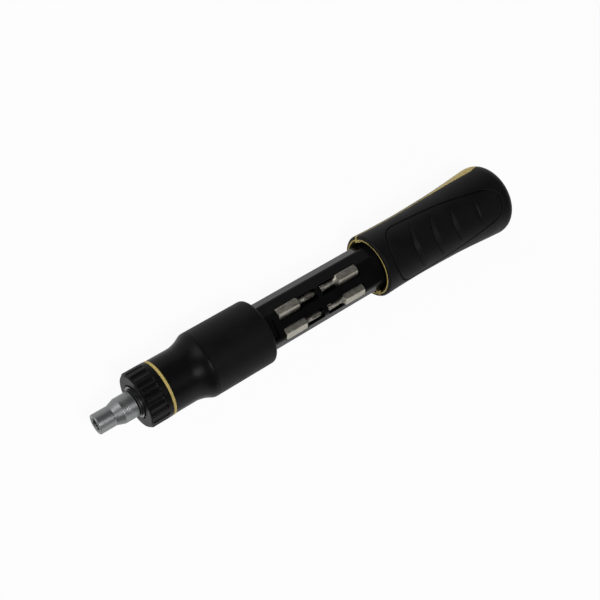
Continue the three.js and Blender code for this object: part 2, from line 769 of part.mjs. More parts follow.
const tipCuts = {
  cross: () => tipGrooves(4, crossShares[0], crossShares[1], bitLength - shankLength / 2),
  star: () => tipGrooves(hexSides, starShares[0], starShares[1], bitLength - bitConeLength - bitNeckLength),
  flat: () => pairSides.map((side) => {
    const start = bitLength - shankLength / 2;
    const reach = bitShankRadius + overrun;
    const low = side > 0 ? bitTipRadius / 2 : -reach;
    const high = side > 0 ? reach : -bitTipRadius / 2;
    return block([-bitLength - overrun, -reach, low], [-start, reach, high]);
  }),
};

// A stored bit: front ones point their tips to the butt, rear ones to the tool's tip
function makeBit(kind, row, face, rear) {
  let bit = cut(bitBlank(), ...tipCuts[kind]());
  bit = rear
    ? bit.rotate([0, 0, 180]).translate([-bitsEnd, 0, 0])
    : bit.translate([-bitsStart, 0, 0]);
  return bit.translate([0, (row * rowSpacing) / 2, face * rowHeight]);
}

// Stop: the ring on the barrel's end that catches behind the lip, with two keys and the slide ball
function makeStop() {
  const ring = tube(barrelEnd, stopEnd, stopRadius, 0);
  const reach = stopRadius + keyStand;
  const keys = block([-stopEnd, -reach, -keyWidth / 2], [-barrelEnd, reach, keyWidth / 2]);
  const rodHole = tube(barrelEnd - overrun, stopEnd + overrun, tieRodRadius + gap, 0, smallSides);
  const ballHole = spoke(
    slideBallRadius + gap, slideSpringStart - gap, stopRadius + overrun, slideBallStation, 0,
  );
  return cut(join(ring, keys), rodHole, ballHole);
}

const slideBallStation = (barrelEnd + stopEnd) / 2;
const slideBallCentre = stopRadius + slideBallStand - slideBallRadius;
const slideSpringStart = slideBallCentre - slideBallRadius - gap / 2 - slideSpringLength;

function makeSlideBall() {
  return ball(slideBallRadius, new THREE.Vector3(-slideBallStation, 0, slideBallCentre));
}

function makeSlideSpring() {
  const end = slideSpringStart + slideSpringLength;
  return spoke(slideSpringRadius, slideSpringStart, end, slideBallStation, 0);
}

// The handle's radius at a share of its wall
const skinRadius = (share) => handleBoreRadius + share * handleWall;

// The handle's wall at a depth under the grip's skin, from the mouth to the flat of the butt
function gripPoints(inset) {
  const rings = inset === 0 ? gripShares : gripShares.filter((_, i) => i % 2 === 1);
  const side = rings.map(([along, out]) => [mouth + along * handleLength, skinRadius(out) - inset]);
  const domeRadius = side.at(-1)[1];
  const domeLength = toolEnd - inset - domeStart;
  const last = Math.acos((buttFlatRadius - inset) / domeRadius);
  for (let i = 1; i <= buttSteps; i += 1) {
    const turn = (last * i) / buttSteps;
    side.push([domeStart + (domeLength * Math.sin(turn)) / Math.sin(last), domeRadius * Math.cos(turn)]);
  }
  return side;
}

// A seam window in the grip, drawn flat and pushed out on both sides of the handle
function seamWedge(grow, start) {
  const far = seamShares.map(([along, out]) => [mouth + along * handleLength, out * seamHalfWidth + grow]);
  far[0][0] = start;
  far.at(-1)[0] += grow;
  far.at(-1)[1] = 0;
  const near = far.slice(0, -1).reverse().map(([station, half]) => [station, -half]);
  const outline = [...far, ...near].map(([station, half]) => new THREE.Vector2(-station, half));
  const reach = handleRadius + overrun;
  const slab = new THREE.ExtrudeGeometry(new THREE.Shape(outline), { depth: 2 * reach, bevelEnabled: false });
  return toSolid(slab.translate(0, 0, -reach)).rotate([seamTurnDegrees, 0, 0]);
}

const coreInset = gripThickness + gap;

function makeGrip() {
  const inner = gripPoints(gripThickness).slice(1);
  const body = turned([
    [mouth, inner[0][1]], ...gripPoints(0), [toolEnd, 0], [toolEnd - gripThickness, 0], ...inner.reverse(),
  ]);
  return cut(body, seamWedge(gap, mouth - overrun));
}

// Shell: the hard inner handle, open at the mouth, with two ribs that fill the grip's seams
const shellStart = mouth + lipFlange + gap;
const wallRadius = skinRadius(gripShares[edgePoints][1]) - coreInset;
const lipSeatRadius = lipBoreRadius + lipSpigotWall;
const lipEnd = mouth + lipFlange + lipSpigotLength;

function makeShell() {
  const behind = ([station]) => station > shellStart;
  const wall = gripPoints(coreInset).filter(behind);
  const core = turned([[shellStart, 0], [shellStart, wallRadius], ...wall, [toolEnd - coreInset, 0]]);
  const skin = gripPoints(0).filter(behind);
  const ribs = seamWedge(0, shellStart).intersect(turned([[shellStart, 0], ...skin, [toolEnd, 0]]));
  const reach = tube(shellStart, toolEnd - coreInset, handleRadius + overrun, 0);
  const bore = turned([
    [shellStart - overrun, 0], [shellStart - overrun, lipSeatRadius + gap],
    [lipEnd + gap, lipSeatRadius + gap], [lipEnd + gap, handleBoreRadius],
    [boreEnd, handleBoreRadius], [boreEnd, 0],
  ]);
  const grooveTop = stopRadius + keyStand + gap;
  const keyHalf = keyWidth / 2 + gap;
  const keyGrooves = block([-boreEnd, -grooveTop, -keyHalf], [-barrelEnd + gap, grooveTop, keyHalf]);
  const trackTop = stopRadius + slideBallStand + gap;
  const pocketTop = stopRadius + slideBallStand + slideBallTravel + gap / 2;
  const ballTrack = block([-boreEnd, -slideBallRadius, 0], [-barrelEnd + gap, slideBallRadius, trackTop]);
  const pockets = [0, handleTravel].map((shift) => spoke(
    slideBallRadius, 0, pocketTop, slideBallStation + shift, 0,
  ));
  return cut(join(core, ribs).intersect(reach), bore, keyGrooves, ballTrack, ...pockets);
}

// Lip: the bright ring at the handle's mouth, with a spigot inside the shell
function makeLip() {
  const flange = mouth + lipFlange;
  const outer = wallRadius;
  const body = turned([
    [mouth, lipBoreRadius + lipFaceWidth], [mouth, outer], [flange, outer], [flange, lipSeatRadius],
    [lipEnd, lipSeatRadius], [lipEnd, lipBoreRadius], [mouth + lipFunnel, lipBoreRadius],
  ]);
  const skin = gripPoints(0).filter(([station]) => station <= flange + gap);
  const ribs = seamWedge(0, mouth).intersect(turned([
    [mouth, outer - gap], ...skin, [flange, skin.at(-1)[1]], [flange, outer - gap],
  ]));
  return join(body, ribs);
}

// Finishes: colour, roughness and metalness
const finishes = {
  softBlack: { color: 0x1c1c1d, roughness: 0.72, metalness: 0 },
  glossBlack: { color: 0x0e0e10, roughness: 0.28, metalness: 0 },
  hardBlack: { color: 0x171718, roughness: 0.5, metalness: 0 },
  yellow: { color: 0xd3a32c, roughness: 0.45, metalness: 0 },
  satinChrome: { color: 0xc4c6c8, roughness: 0.3, metalness: 1 },
  bitSteel: { color: 0xa8a59c, roughness: 0.38, metalness: 1 },
  spring: { color: 0x8f9094, roughness: 0.35, metalness: 1 },
  darkSteel: { color: 0x3c3d40, roughness: 0.45, metalness: 1 },
  bronze: { color: 0xa97b3f, roughness: 0.5, metalness: 1 },
};

const tool = new THREE.Group();
tool.position.set(toolEnd / 2, 0, axisHeight);

function add(name, solid, finish) {
  const mesh = solid.getMesh();
  const geometry = new THREE.BufferGeometry();
  geometry.setAttribute("position", new THREE.BufferAttribute(mesh.vertProperties, 3));
  geometry.setIndex(new THREE.BufferAttribute(mesh.triVerts, 1));
  geometry.computeVertexNormals();
  const piece = new THREE.Mesh(geometry, new THREE.MeshStandardMaterial(finishes[finish]));
  piece.name = name;
  tool.add(piece);
}

add("bit_holder", makeBitHolder(), "satinChrome");
add("holder_magnet", makeMagnet(), "darkSteel");
add("drive_spindle", makeSpindle(), "darkSteel");
add("ratchet_gear", makeGear(), "darkSteel");
add("thrust_washer", makeThrustWasher(), "bronze");
add("ratchet_nose", makeNose(), "darkSteel");
add("front_bushing", makeFrontBushing(), "bronze");
add("retaining_clip", makeClip(), "spring");
add("ratchet_base", makeBase(), "darkSteel");
add("tail_bushing", makeTailBushing(), "bronze");
postAngles.forEach((angle, i) => add(`cage_screw_${i + 1}`, makeCageScrew(angle), "spring"));
for (const [name, side] of [["forward", 1], ["reverse", -1]]) {
  add(`pawl_${name}`, makePawl(side), "darkSteel");
  add(`pawl_pin_${name}`, makePawlPin(side), "spring");
  add(`pawl_spring_${name}`, makePawlSpring(side), "spring");
}
add("selector_ring", makeSelector(), "hardBlack");
add("selector_cam", makeCam(), "darkSteel");
add("click_ball", makeClickBall(), "spring");
add("click_spring", makeClickSpring(), "spring");
add("accent_band", makeBand(), "yellow");
add("front_housing", makeHousing(), "hardBlack");
housingScrewAngles.forEach((angle, i) => add(`housing_screw_${i + 1}`, makeHousingScrew(angle), "spring"));
add("collar_sleeve", makeCollar(), "softBlack");
add("bit_barrel", makeBarrel(), "glossBlack");
add("tie_rod", makeTieRod(), "spring");
add("tie_rod_nut", makeTieRodNut(), "spring");
add("slide_stop", makeStop(), "hardBlack");
add("slide_ball", makeSlideBall(), "spring");
add("slide_spring", makeSlideSpring(), "spring");
add("handle_lip", makeLip(), "yellow");
add("handle_shell", makeShell(), "yellow");
add("handle_grip", makeGrip(), "softBlack");

// Eight stored bits, four on each main facet
const storedBits = [
  ["bit_cross_small", "cross", 1, 1, false],
  ["bit_cross_large", "cross", -1, 1, false],
  ["bit_star_small", "star", 1, 1, true],
  ["bit_star_large", "star", -1, 1, true],
  ["bit_flat_small", "flat", 1, -1, false],
  ["bit_flat_large", "flat", -1, -1, false],
  ["bit_cross_fine", "cross", 1, -1, true],
  ["bit_star_fine", "star", -1, -1, true],
];
for (const [name, kind, row, face, rear] of storedBits) add(name, makeBit(kind, row, face, rear), "bitSteel");

export default tool;
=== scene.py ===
import bmesh
import bpy
from math import asin, cos, pi, radians, sin, sqrt, tan
from mathutils import Matrix, Vector


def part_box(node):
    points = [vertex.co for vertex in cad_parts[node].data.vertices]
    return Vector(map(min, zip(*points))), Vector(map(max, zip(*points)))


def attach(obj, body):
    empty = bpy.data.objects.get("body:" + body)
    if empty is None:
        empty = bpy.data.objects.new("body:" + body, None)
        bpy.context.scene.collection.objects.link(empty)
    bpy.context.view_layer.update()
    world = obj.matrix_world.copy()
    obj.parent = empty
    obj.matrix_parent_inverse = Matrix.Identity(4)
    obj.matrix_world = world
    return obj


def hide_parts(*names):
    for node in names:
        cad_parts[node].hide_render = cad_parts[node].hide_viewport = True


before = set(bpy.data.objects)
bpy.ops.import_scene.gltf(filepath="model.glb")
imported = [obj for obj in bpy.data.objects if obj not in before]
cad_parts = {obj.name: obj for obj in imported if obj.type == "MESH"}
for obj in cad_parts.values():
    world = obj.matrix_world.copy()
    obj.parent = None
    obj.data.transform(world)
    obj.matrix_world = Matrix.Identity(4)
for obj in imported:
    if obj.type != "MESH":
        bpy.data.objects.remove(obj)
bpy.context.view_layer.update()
mm = 0.001
fullTurn = 2 * pi
closeBy = 0.002 * mm  # points nearer than this are one point
fit = 0.3 * mm  # the gap that pieces keep from one another
fineEdge = 0.1 * mm  # the rounding of the smallest edges
hexShare = 1 / cos(pi / 6)  # a hexagon's corner radius for each half width
hexTurn = radians(30)
roundSides = 192


def lengths(**values):  # a piece's lengths, given in millimetres
    return {name: value * mm for name, value in values.items()}


# Places from the frame. The tool lies along X with its tip towards +X.
def front(node):
    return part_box(node)[1].x


def rear(node):
    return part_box(node)[0].x


def ends(node):
    return front(node), rear(node)


def middle(node):
    low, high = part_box(node)
    return (low + high) / 2


axisHeight = middle("accent_band").z


def around(angle):  # the unit direction at an angle round the axis, in radians from +Z
    return Vector((0, -sin(angle), cos(angle)))


def onAxis(x, radius, angle):
    return Vector((x, 0, axisHeight)) + around(angle) * radius


def crossways(places):  # a flat (y, z) outline from places given from the axis
    return [(place.y, axisHeight + place.z) for place in places]


def fan(centre, half, count):  # angles spread evenly to both sides of a middle one
    return [centre + half * (2 * k / count - 1) for k in range(count + 1)]


# Node trees are written as sums
class Wire:
    def __init__(self, graph, socket):
        self.graph = graph
        self.socket = socket

    def math(self, operation, *others):
        values = dict(enumerate((self,) + others))
        return self.graph.node("ShaderNodeMath", {"operation": operation}, values)

    def swapped(self, operation, other):
        return self.graph.node("ShaderNodeMath", {"operation": operation}, {0: other, 1: self})

    def __add__(self, other):
        return self.math("ADD", other)

    def __sub__(self, other):
        return self.math("SUBTRACT", other)

    def __mul__(self, other):
        return self.math("MULTIPLY", other)

    def __truediv__(self, other):
        return self.math("DIVIDE", other)

    def __radd__(self, other):
        return self.swapped("ADD", other)

    def __rsub__(self, other):
        return self.swapped("SUBTRACT", other)

    def __rmul__(self, other):
        return self.swapped("MULTIPLY", other)

    def __rtruediv__(self, other):
        return self.swapped("DIVIDE", other)

    def __neg__(self):
        return self * -1

    def __abs__(self):
        return self.math("ABSOLUTE")

    def __lt__(self, other):
        return self.math("LESS_THAN", other)

    def __gt__(self, other):
        return self.math("GREATER_THAN", other)


class Graph:
    def __init__(self, tree):
        self.tree = tree

    def node(self, kind, settings=None, sockets=None, out=0):
        made = self.tree.nodes.new(kind)
        for name, value in (settings or {}).items():
            if name == "stops":
                self.setStops(made.color_ramp, value)
            else:
                setattr(made, name, value)
        for name, value in (sockets or {}).items():
            if isinstance(value, Wire):
                self.tree.links.new(value.socket, made.inputs[name])
            else:
                made.inputs[name].default_value = value
        return Wire(self, made.outputs[out] if len(made.outputs) else None)

    def setStops(self, ramp, stops):
        for i, (place, shade) in enumerate(stops):
            stop = ramp.elements[i] if i < 2 else ramp.elements.new(place)
            stop.position = place
            stop.color = (shade, shade, shade, 1)

    def noise(self, vector, scale, detail):
        return self.node("ShaderNodeTexNoise", {}, {"Vector": vector, "Scale": scale, "Detail": detail})


def lesser(a, b):
    return a.math("MINIMUM", b)


def greater(a, b):
    return a.math("MAXIMUM", b)


def emptied(owner):  # the nodes of a material or of the world, started afresh
    owner.use_nodes = True
    owner.node_tree.nodes.clear()
    return Graph(owner.node_tree)


# Finishes: fine marks over broad soft patches. A kind's shares are the marks' part in its colour and in
# its roughness. Marks (along and across the tool), patches and relief are in millimetres.
kinds = {
    "plastic": dict(fineDetail=2, patchDetail=4, patchRange=(0.35, 0.65), shares=(0, 0.4), metallic=0),
    "metal": dict(fineDetail=4, patchDetail=3, patchRange=(0.3, 0.7), shares=(0.5, 0.5), metallic=1),
}
looks = {
    "soft_black": dict(
        kind="plastic", colour=(0.0042, 0.0041, 0.0042), spread=0.16, roughness=(0.46, 0.6),
        marks=(0.16, 0.16), patch=14, bump=0.35, relief=0.02, specular=0.09,
    ),
    "hard_black": dict(
        kind="plastic", colour=(0.0034, 0.0034, 0.0036), spread=0.14, roughness=(0.3, 0.39),
        marks=(0.22, 0.22), patch=11, bump=0.22, relief=0.016, specular=0.07,
    ),
    "gloss_black": dict(
        kind="plastic", colour=(0.0036, 0.0036, 0.004), spread=0.15, roughness=(0.12, 0.2),
        marks=(0.6, 0.6), patch=9, bump=0.06, relief=0.012, specular=0.038,
    ),
    "yellow": dict(
        kind="plastic", colour=(0.47, 0.365, 0.12), spread=0.08, roughness=(0.4, 0.52),
        marks=(0.2, 0.2), patch=12, bump=0.15, relief=0.014, specular=0.14,
    ),
    # yellow made dark: painted shade for the deep inside of the lip's funnel
    "yellow_painted_shade": dict(
        kind="plastic", colour=(0.02, 0.016, 0.006), spread=0.12, roughness=(0.42, 0.54),
        marks=(0.2, 0.2), patch=8, bump=0.15, relief=0.014, specular=0.2,
    ),
    "satin_chrome": dict(
        kind="metal", colour=(0.2, 0.205, 0.207), spread=0.06, roughness=(0.38, 0.43),
        marks=(0.5, 6), patch=7, bump=0.02, relief=0.002, specular=0.5,
    ),
    "bit_steel": dict(
        kind="metal", colour=(0.33, 0.315, 0.272), spread=0.42, roughness=(0.38, 0.54),
        marks=(1.6, 0.3), patch=2.2, bump=0.3, relief=0.008, specular=0.5,
    ),
    "spring_steel": dict(
        kind="metal", colour=(0.12, 0.12, 0.115), spread=0.12, roughness=(0.26, 0.38),
        marks=(0.5, 0.5), patch=3, bump=0.12, relief=0.006, specular=0.5,
    ),
    "dark_steel": dict(
        kind="metal", colour=(0.07, 0.07, 0.074), spread=0.15, roughness=(0.38, 0.52),
        marks=(0.2, 4), patch=4, bump=0.2, relief=0.008, specular=0.5,
    ),
    "bronze": dict(
        kind="metal", colour=(0.42, 0.23, 0.09), spread=0.12, roughness=(0.36, 0.5),
        marks=(0.2, 4), patch=3, bump=0.2, relief=0.008, specular=0.5,
    ),
}


def tinted(colour, share):
    return tuple(value * share for value in colour) + (1,)


def makeFinish(name, look):
    material = bpy.data.materials.new(name)
    g = emptied(material)
    kind = kinds[look["kind"]]
    place = g.node("ShaderNodeTexCoord", out=3)
    along, across = (mark * mm for mark in look["marks"])
    scales = (1 / along, 1 / across, 1 / across)
    scaled = g.node("ShaderNodeVectorMath", {"operation": "MULTIPLY"}, {0: place, 1: scales})
    marks = g.noise(scaled, 1, kind["fineDetail"])
    low, high = kind["patchRange"]
    patch = g.noise(place, 1 / (look["patch"] * mm), kind["patchDetail"])
    smudge = g.node("ShaderNodeMapRange", {}, {0: patch, 1: low, 2: high})
    tone, wear = (share * marks + (1 - share) * smudge for share in kind["shares"])
    deep, pale = (tinted(look["colour"], 1 + side * look["spread"]) for side in (-1, 1))
    colour = g.node("ShaderNodeMix", {"data_type": "RGBA"}, {0: tone, 6: deep, 7: pale}, out=2)
    low, high = look["roughness"]
    relief = {"Strength": look["bump"], "Distance": look["relief"] * mm, "Height": marks}
    shader = g.node("ShaderNodeBsdfPrincipled", {}, {
        "Base Color": colour, "Roughness": low + (high - low) * wear, "Metallic": kind["metallic"],
        "Normal": g.node("ShaderNodeBump", {}, relief), "Specular IOR Level": look["specular"],
    })
    g.node("ShaderNodeOutputMaterial", {}, {"Surface": shader})
    return material


finish = {name: makeFinish(name, look) for name, look in looks.items()}
print("finishes made:", len(finish))


# Geometry node trees and the pieces that they make
def newTree(name, inputs):
    tree = bpy.data.node_groups.new(name, "GeometryNodeTree")
    tree.interface.new_socket("Geometry", in_out="INPUT", socket_type="NodeSocketGeometry")
    for kind, labels in inputs.items():
        for label in labels:
            tree.interface.new_socket(label, in_out="INPUT", socket_type="NodeSocket" + kind)
    tree.interface.new_socket("Geometry", in_out="OUTPUT", socket_type="NodeSocketGeometry")
    g = Graph(tree)
    source = tree.nodes.new("NodeGroupInput")
    return g, {socket.name: Wire(g, socket) for socket in source.outputs if socket.name}


def endTree(g, given, shape):  # the shape made real, with its finish
    real = g.node("GeometryNodeRealizeInstances", {}, {"Geometry": shape})
    coated = g.node("GeometryNodeSetMaterial", {}, {"Geometry": real, "Material": given["Material"]})
    end = g.tree.nodes.new("NodeGroupOutput")
    g.tree.links.new(coated.socket, end.inputs[0])
    return g.tree


def link(name, mesh):
    piece = bpy.data.objects.new(name, mesh)
    bpy.context.scene.collection.objects.link(piece)
    return piece


def tidied(piece, sharpDegrees=34):  # doubles merged, faces outwards, smooth but for its sharp edges
    shape = bmesh.new()
    shape.from_mesh(piece.data)
    bmesh.ops.remove_doubles(shape, verts=shape.verts, dist=closeBy)
    bmesh.ops.dissolve_degenerate(shape, edges=shape.edges, dist=closeBy / 2)
    bmesh.ops.recalc_face_normals(shape, faces=shape.faces)
    for face in shape.faces:
        face.smooth = True
    for edge in shape.edges:
        edge.smooth = len(edge.link_faces) == 2 and edge.calc_face_angle(0) < radians(sharpDegrees)
    shape.to_mesh(piece.data)
    shape.free()
    return piece


def evaluated(source, name):
    view = bpy.context.evaluated_depsgraph_get()
    mesh = bpy.data.meshes.new_from_object(source.evaluated_get(view))
    bpy.data.objects.remove(source)
    return link(name, mesh)


def runTree(tree, source, name, values):
    modifier = source.modifiers.new("nodes", "NODES")
    modifier.node_group = tree
    for item in tree.interface.items_tree:
        if item.in_out == "INPUT" and item.name in values:
            modifier[item.identifier] = values[item.name]
    return evaluated(source, name)


# Turned pieces: a grid wrapped round the axis along a profile, which flats and flutes may cut.
# The profile's points carry how each ring is cut: flats 1 for a bar, -1 for a hole; flutes 0 to 1.
turnedInputs = {
    "Int": ("Sides", "Flats", "Flutes"),
    "Float": (
        "Axis Side", "Axis Height", "Across Flats", "Flat Rounding", "Flat Turn", "Flute Radius",
        "Flute Depth", "Body Radius",
    ),
    "Material": ("Material",),
}


def aside(angle, part, turn=0):  # how far an angle lies from the middle of its own part
    moved = angle - turn + part / 2
    return abs(moved - part * (moved / part).math("FLOOR") - part / 2)


def polygonRadius(given, angle):
    part = fullTurn / given["Flats"]
    off = aside(angle, part, given["Flat Turn"])
    half = given["Across Flats"] / 2
    rounding = given["Flat Rounding"]
    straight = half - rounding
    fromCorner = part / 2 - off
    cornerRing = straight / (part / 2).math("COSINE")
    sideways = cornerRing * fromCorner.math("SINE")
    rest = greater(rounding * rounding - sideways * sideways, 0).math("SQRT")
    inCorner = half * off.math("TANGENT") > straight * (part / 2).math("TANGENT")
    flat = half / off.math("COSINE")
    bend = cornerRing * fromCorner.math("COSINE") + rest
    return flat + inCorner * (bend - flat)


def fluteCut(given, angle, share, radius):
    off = aside(angle, fullTurn / given["Flutes"])
    reach = given["Flute Radius"]
    ring = given["Body Radius"] - given["Flute Depth"] * share + reach
    sideways = ring * off.math("SINE")
    rest = greater(reach * reach - sideways * sideways, 0).math("SQRT")
    inside = (sideways < reach) * (share > 0)
    wall = ring * off.math("COSINE") - rest
    return radius + inside * (lesser(wall, radius) - radius)


def buildTurnedTree():
    g, given = newTree("turned piece", turnedInputs)
    profile = given["Geometry"]
    rings = g.node("GeometryNodeAttributeDomainSize", {"component": "MESH"}, {"Geometry": profile})
    columns = given["Sides"] + 1
    grid = g.node("GeometryNodeMeshGrid", {}, {"Vertices X": rings, "Vertices Y": columns})
    index = g.node("GeometryNodeInputIndex")
    ring = ((index + 0.5) / columns).math("FLOOR")
    angle = (index - ring * columns) * fullTurn / given["Sides"]

    def onProfile(kind, value):
        return g.node(
            "GeometryNodeSampleIndex", {"data_type": kind, "domain": "POINT", "clamp": True},
            {"Geometry": profile, "Value": value, "Index": ring},
        )

    def cutShare(name):
        value = g.node("GeometryNodeInputNamedAttribute", {"data_type": "FLOAT"}, {"Name": name})
        return onProfile("FLOAT", value)

    place = onProfile("FLOAT_VECTOR", g.node("GeometryNodeInputPosition"))
    station, radius = (g.node("ShaderNodeSeparateXYZ", {}, {0: place}, out=out) for out in (0, 2))
    flats = cutShare("flats")
    polygon = polygonRadius(given, angle)
    bar = greater(flats, 0) * (lesser(radius, polygon) - radius)
    hollow = greater(-flats, 0) * (greater(radius, polygon) - radius)
    cutRadius = fluteCut(given, angle, cutShare("flutes"), radius + bar + hollow)
    position = g.node("ShaderNodeCombineXYZ", {}, {
        0: station,
        1: given["Axis Side"] - cutRadius * angle.math("SINE"),
        2: given["Axis Height"] + cutRadius * angle.math("COSINE"),
    })
    shape = g.node("GeometryNodeSetPosition", {}, {"Geometry": grid, "Position": position})
    return endTree(g, given, shape)


turnedTree = buildTurnedTree()
hole = -1  # the flats of a ring in a hole
roundingSteps = 5
supportShare = 0.12  # a ring at this share beside each rounding keeps what follows straight
mostShare = 0.45  # the most of a straight stretch that one rounding takes


# A profile's corner is a station and a radius, and then its rounding, flats and flutes if it has any
def between(start, end, parts):  # the corners inside a straight stretch
    return [tuple(a + (b - a) * i / parts for a, b in zip(start, end)) for i in range(1, parts)]


def rounded(corners, closed):
    points = []
    count = len(corners)
    for i, corner in enumerate(corners):
        x, radius, rounding, flats, flutes = (*corner, 0, 0, 0)[:5]
        here = Vector((x, radius))
        atEnd = not closed and i in (0, count - 1)
        if rounding == 0 or atEnd:
            points.append((here, flats, flutes))
            continue
        before = Vector(corners[i - 1][:2]) - here
        after = Vector(corners[(i + 1) % count][:2]) - here
        back = rounding / tan(before.angle(after) / 2)
        back = min(back, before.length * mostShare, after.length * mostShare)
        start = here + before.normalized() * back
        end = here + after.normalized() * back
        points.append((start + before.normalized() * back * supportShare, flats, flutes))
        for k in range(roundingSteps + 1):
            t = k / roundingSteps
            place = start * (1 - t) ** 2 + here * (2 * t * (1 - t)) + end * t ** 2
            points.append((place, flats, flutes))
        points.append((end + after.normalized() * back * supportShare, flats, flutes))
    return points


def turned(name, corners, coat, sides=roundSides, **cuts):
    closed = corners[0][1] > 0
    points = rounded(corners, closed)
    if closed:
        points.append(points[0])
    mesh = bpy.data.meshes.new(name)
    mesh.from_pydata([(place.x, 0, place.y) for place, flats, flutes in points], [], [])
    for tag, which in (("flats", 1), ("flutes", 2)):
        values = mesh.attributes.new(tag, "FLOAT", "POINT")
        values.data.foreach_set("value", [point[which] for point in points])
    values = {
        "Sides": sides, "Axis Side": 0.0, "Axis Height": axisHeight, "Flats": 6, "Across Flats": 1.0,
        "Flat Rounding": 0.0, "Flat Turn": 0.0, "Flutes": 6, "Flute Radius": 1 * mm, "Flute Depth": 0.0,
        "Body Radius": 1.0, "Material": finish[coat], **cuts,
    }
    return tidied(runTree(turnedTree, link(name, mesh), name, values))


def fluting(size, radius):  # a piece's flutes as inputs of the turned tree
    return {
        "Flutes": size["flutes"], "Flute Radius": size["fluteRadius"], "Flute Depth": size["fluteDepth"],
        "Body Radius": radius,
    }


def dress(piece, body, slot, *nodes):
    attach(piece, body)
    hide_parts(*nodes)


# Plain mesh work
def meshPiece(name, points, faces, coat):
    mesh = bpy.data.meshes.new(name)
    mesh.from_pydata([tuple(point) for point in points], [], faces)
    mesh.materials.append(finish[coat])
    return link(name, mesh)


def prism(name, outline, start, end, coat):  # a flat outline of (y, z) points drawn out along X
    count = len(outline)
    points = [(x, y, z) for x in (start, end) for y, z in outline]
    faces = [tuple(range(count)), tuple(range(count, 2 * count))]
    faces += [(i, (i + 1) % count, count + (i + 1) % count, count + i) for i in range(count)]
    return tidied(meshPiece(name, points, faces, coat))


def cutOrJoin(body, tools, operation, name):
    for tool in tools:
        modifier = body.modifiers.new(tool.name, "BOOLEAN")
        modifier.operation = operation
        modifier.solver = "EXACT"
        modifier.object = tool
    result = evaluated(body, name)
    for tool in tools:
        bpy.data.objects.remove(tool)
    return result


def softenEdges(piece, width, degrees=30, segments=2):  # small even roundings on the sharp edges
    bevel = piece.modifiers.new("bevel", "BEVEL")
    bevel.width = width
    bevel.segments = segments
    bevel.limit_method = "ANGLE"
    bevel.angle_limit = radians(degrees)
    bevel.harden_normals = True
    bevel.use_clamp_overlap = True
    return evaluated(piece, piece.name)


# Bit holder
holder = dict(
    lengths(
        frontRadius=5.45, rearRadius=6.95, frontLength=9, coneLength=4.6, edge=0.55, rearEdge=0.4,
        coneRounding=1.1, socketAcross=6.5, socketDepth=11, magnetRadius=3.1, magnetDepth=13.6,
        tenonStart=14.6, tenonChamfer=0.3, mouthRadius=4.15, mouthDepth=0.7, grooveDepth=0.07,
        grooveWidth=0.3, grooveEdge=0.2, ringDepth=0.05, ringWidth=0.5,
    ),
    mouthRings=6, ringPlaces=(0.6 * mm, 1.6 * mm),
)


def makeHolder():
    tip, end = ends("bit_holder")
    narrow, wide, groove = holder["frontRadius"], holder["rearRadius"], holder["grooveWidth"]
    half, magnet = holder["socketAcross"] / 2, holder["magnetRadius"]
    socketEnd, magnetEnd = tip - holder["socketDepth"], tip - holder["magnetDepth"]
    tenonTop = tip - holder["tenonStart"]
    coneStart = tip - holder["frontLength"]
    coneEnd = coneStart - holder["coneLength"]
    inner = narrow - holder["grooveDepth"]
    mouthTop = (tip, holder["mouthRadius"], 0, hole)
    mouthEnd = (tip - holder["mouthDepth"], half, 0, hole)
    rings = []
    for place in holder["ringPlaces"]:
        ringStart = coneEnd - holder["coneRounding"] - place
        ringEnd = ringStart - holder["ringWidth"]
        rings += [
            (ringStart, wide, fineEdge),
            ((ringStart + ringEnd) / 2, wide - holder["ringDepth"], fineEdge),
            (ringEnd, wide, fineEdge),
        ]
    corners = [
        (magnetEnd, 0), (magnetEnd, magnet), (socketEnd, magnet), (socketEnd, half / 2, 0, hole),
        mouthEnd, *between(mouthEnd, mouthTop, holder["mouthRings"]), mouthTop,
        (tip, narrow, holder["edge"]), (coneStart + groove * 2, narrow, fineEdge),
        (coneStart + groove, inner, fineEdge), (coneStart, inner, holder["grooveEdge"]),
        (coneEnd, wide, holder["coneRounding"]), *rings, (end, wide, holder["rearEdge"]),
        (end, half * hexShare + holder["tenonChamfer"]),
        (end + holder["tenonChamfer"], half / 2, 0, hole), (tenonTop, half / 2, 0, hole), (tenonTop, 0),
    ]
    piece = turned("holder_chromed", corners, "satin_chrome", **{
        "Across Flats": holder["socketAcross"], "Flat Turn": hexTurn,
    })
    dress(piece, "spindle", "satin_chrome", "bit_holder")


# Selector ring with its flutes
selector = dict(
    lengths(
        radius=15.35, faceBore=9.5, bore=7.9, skirtBore=13.3, chamfer=1.2, faceMargin=0.25,
        clipRecess=0.8, floorDepth=8.7, edge=0.3, boreEdge=0.2, skirtEdge=0.15, fluteRadius=4,
        fluteDepth=0.78, fluteLength=9, runOut=1.5,
    ),
    flutes=18, sidesPerFlute=20, chamferRings=8, runRings=10,
)


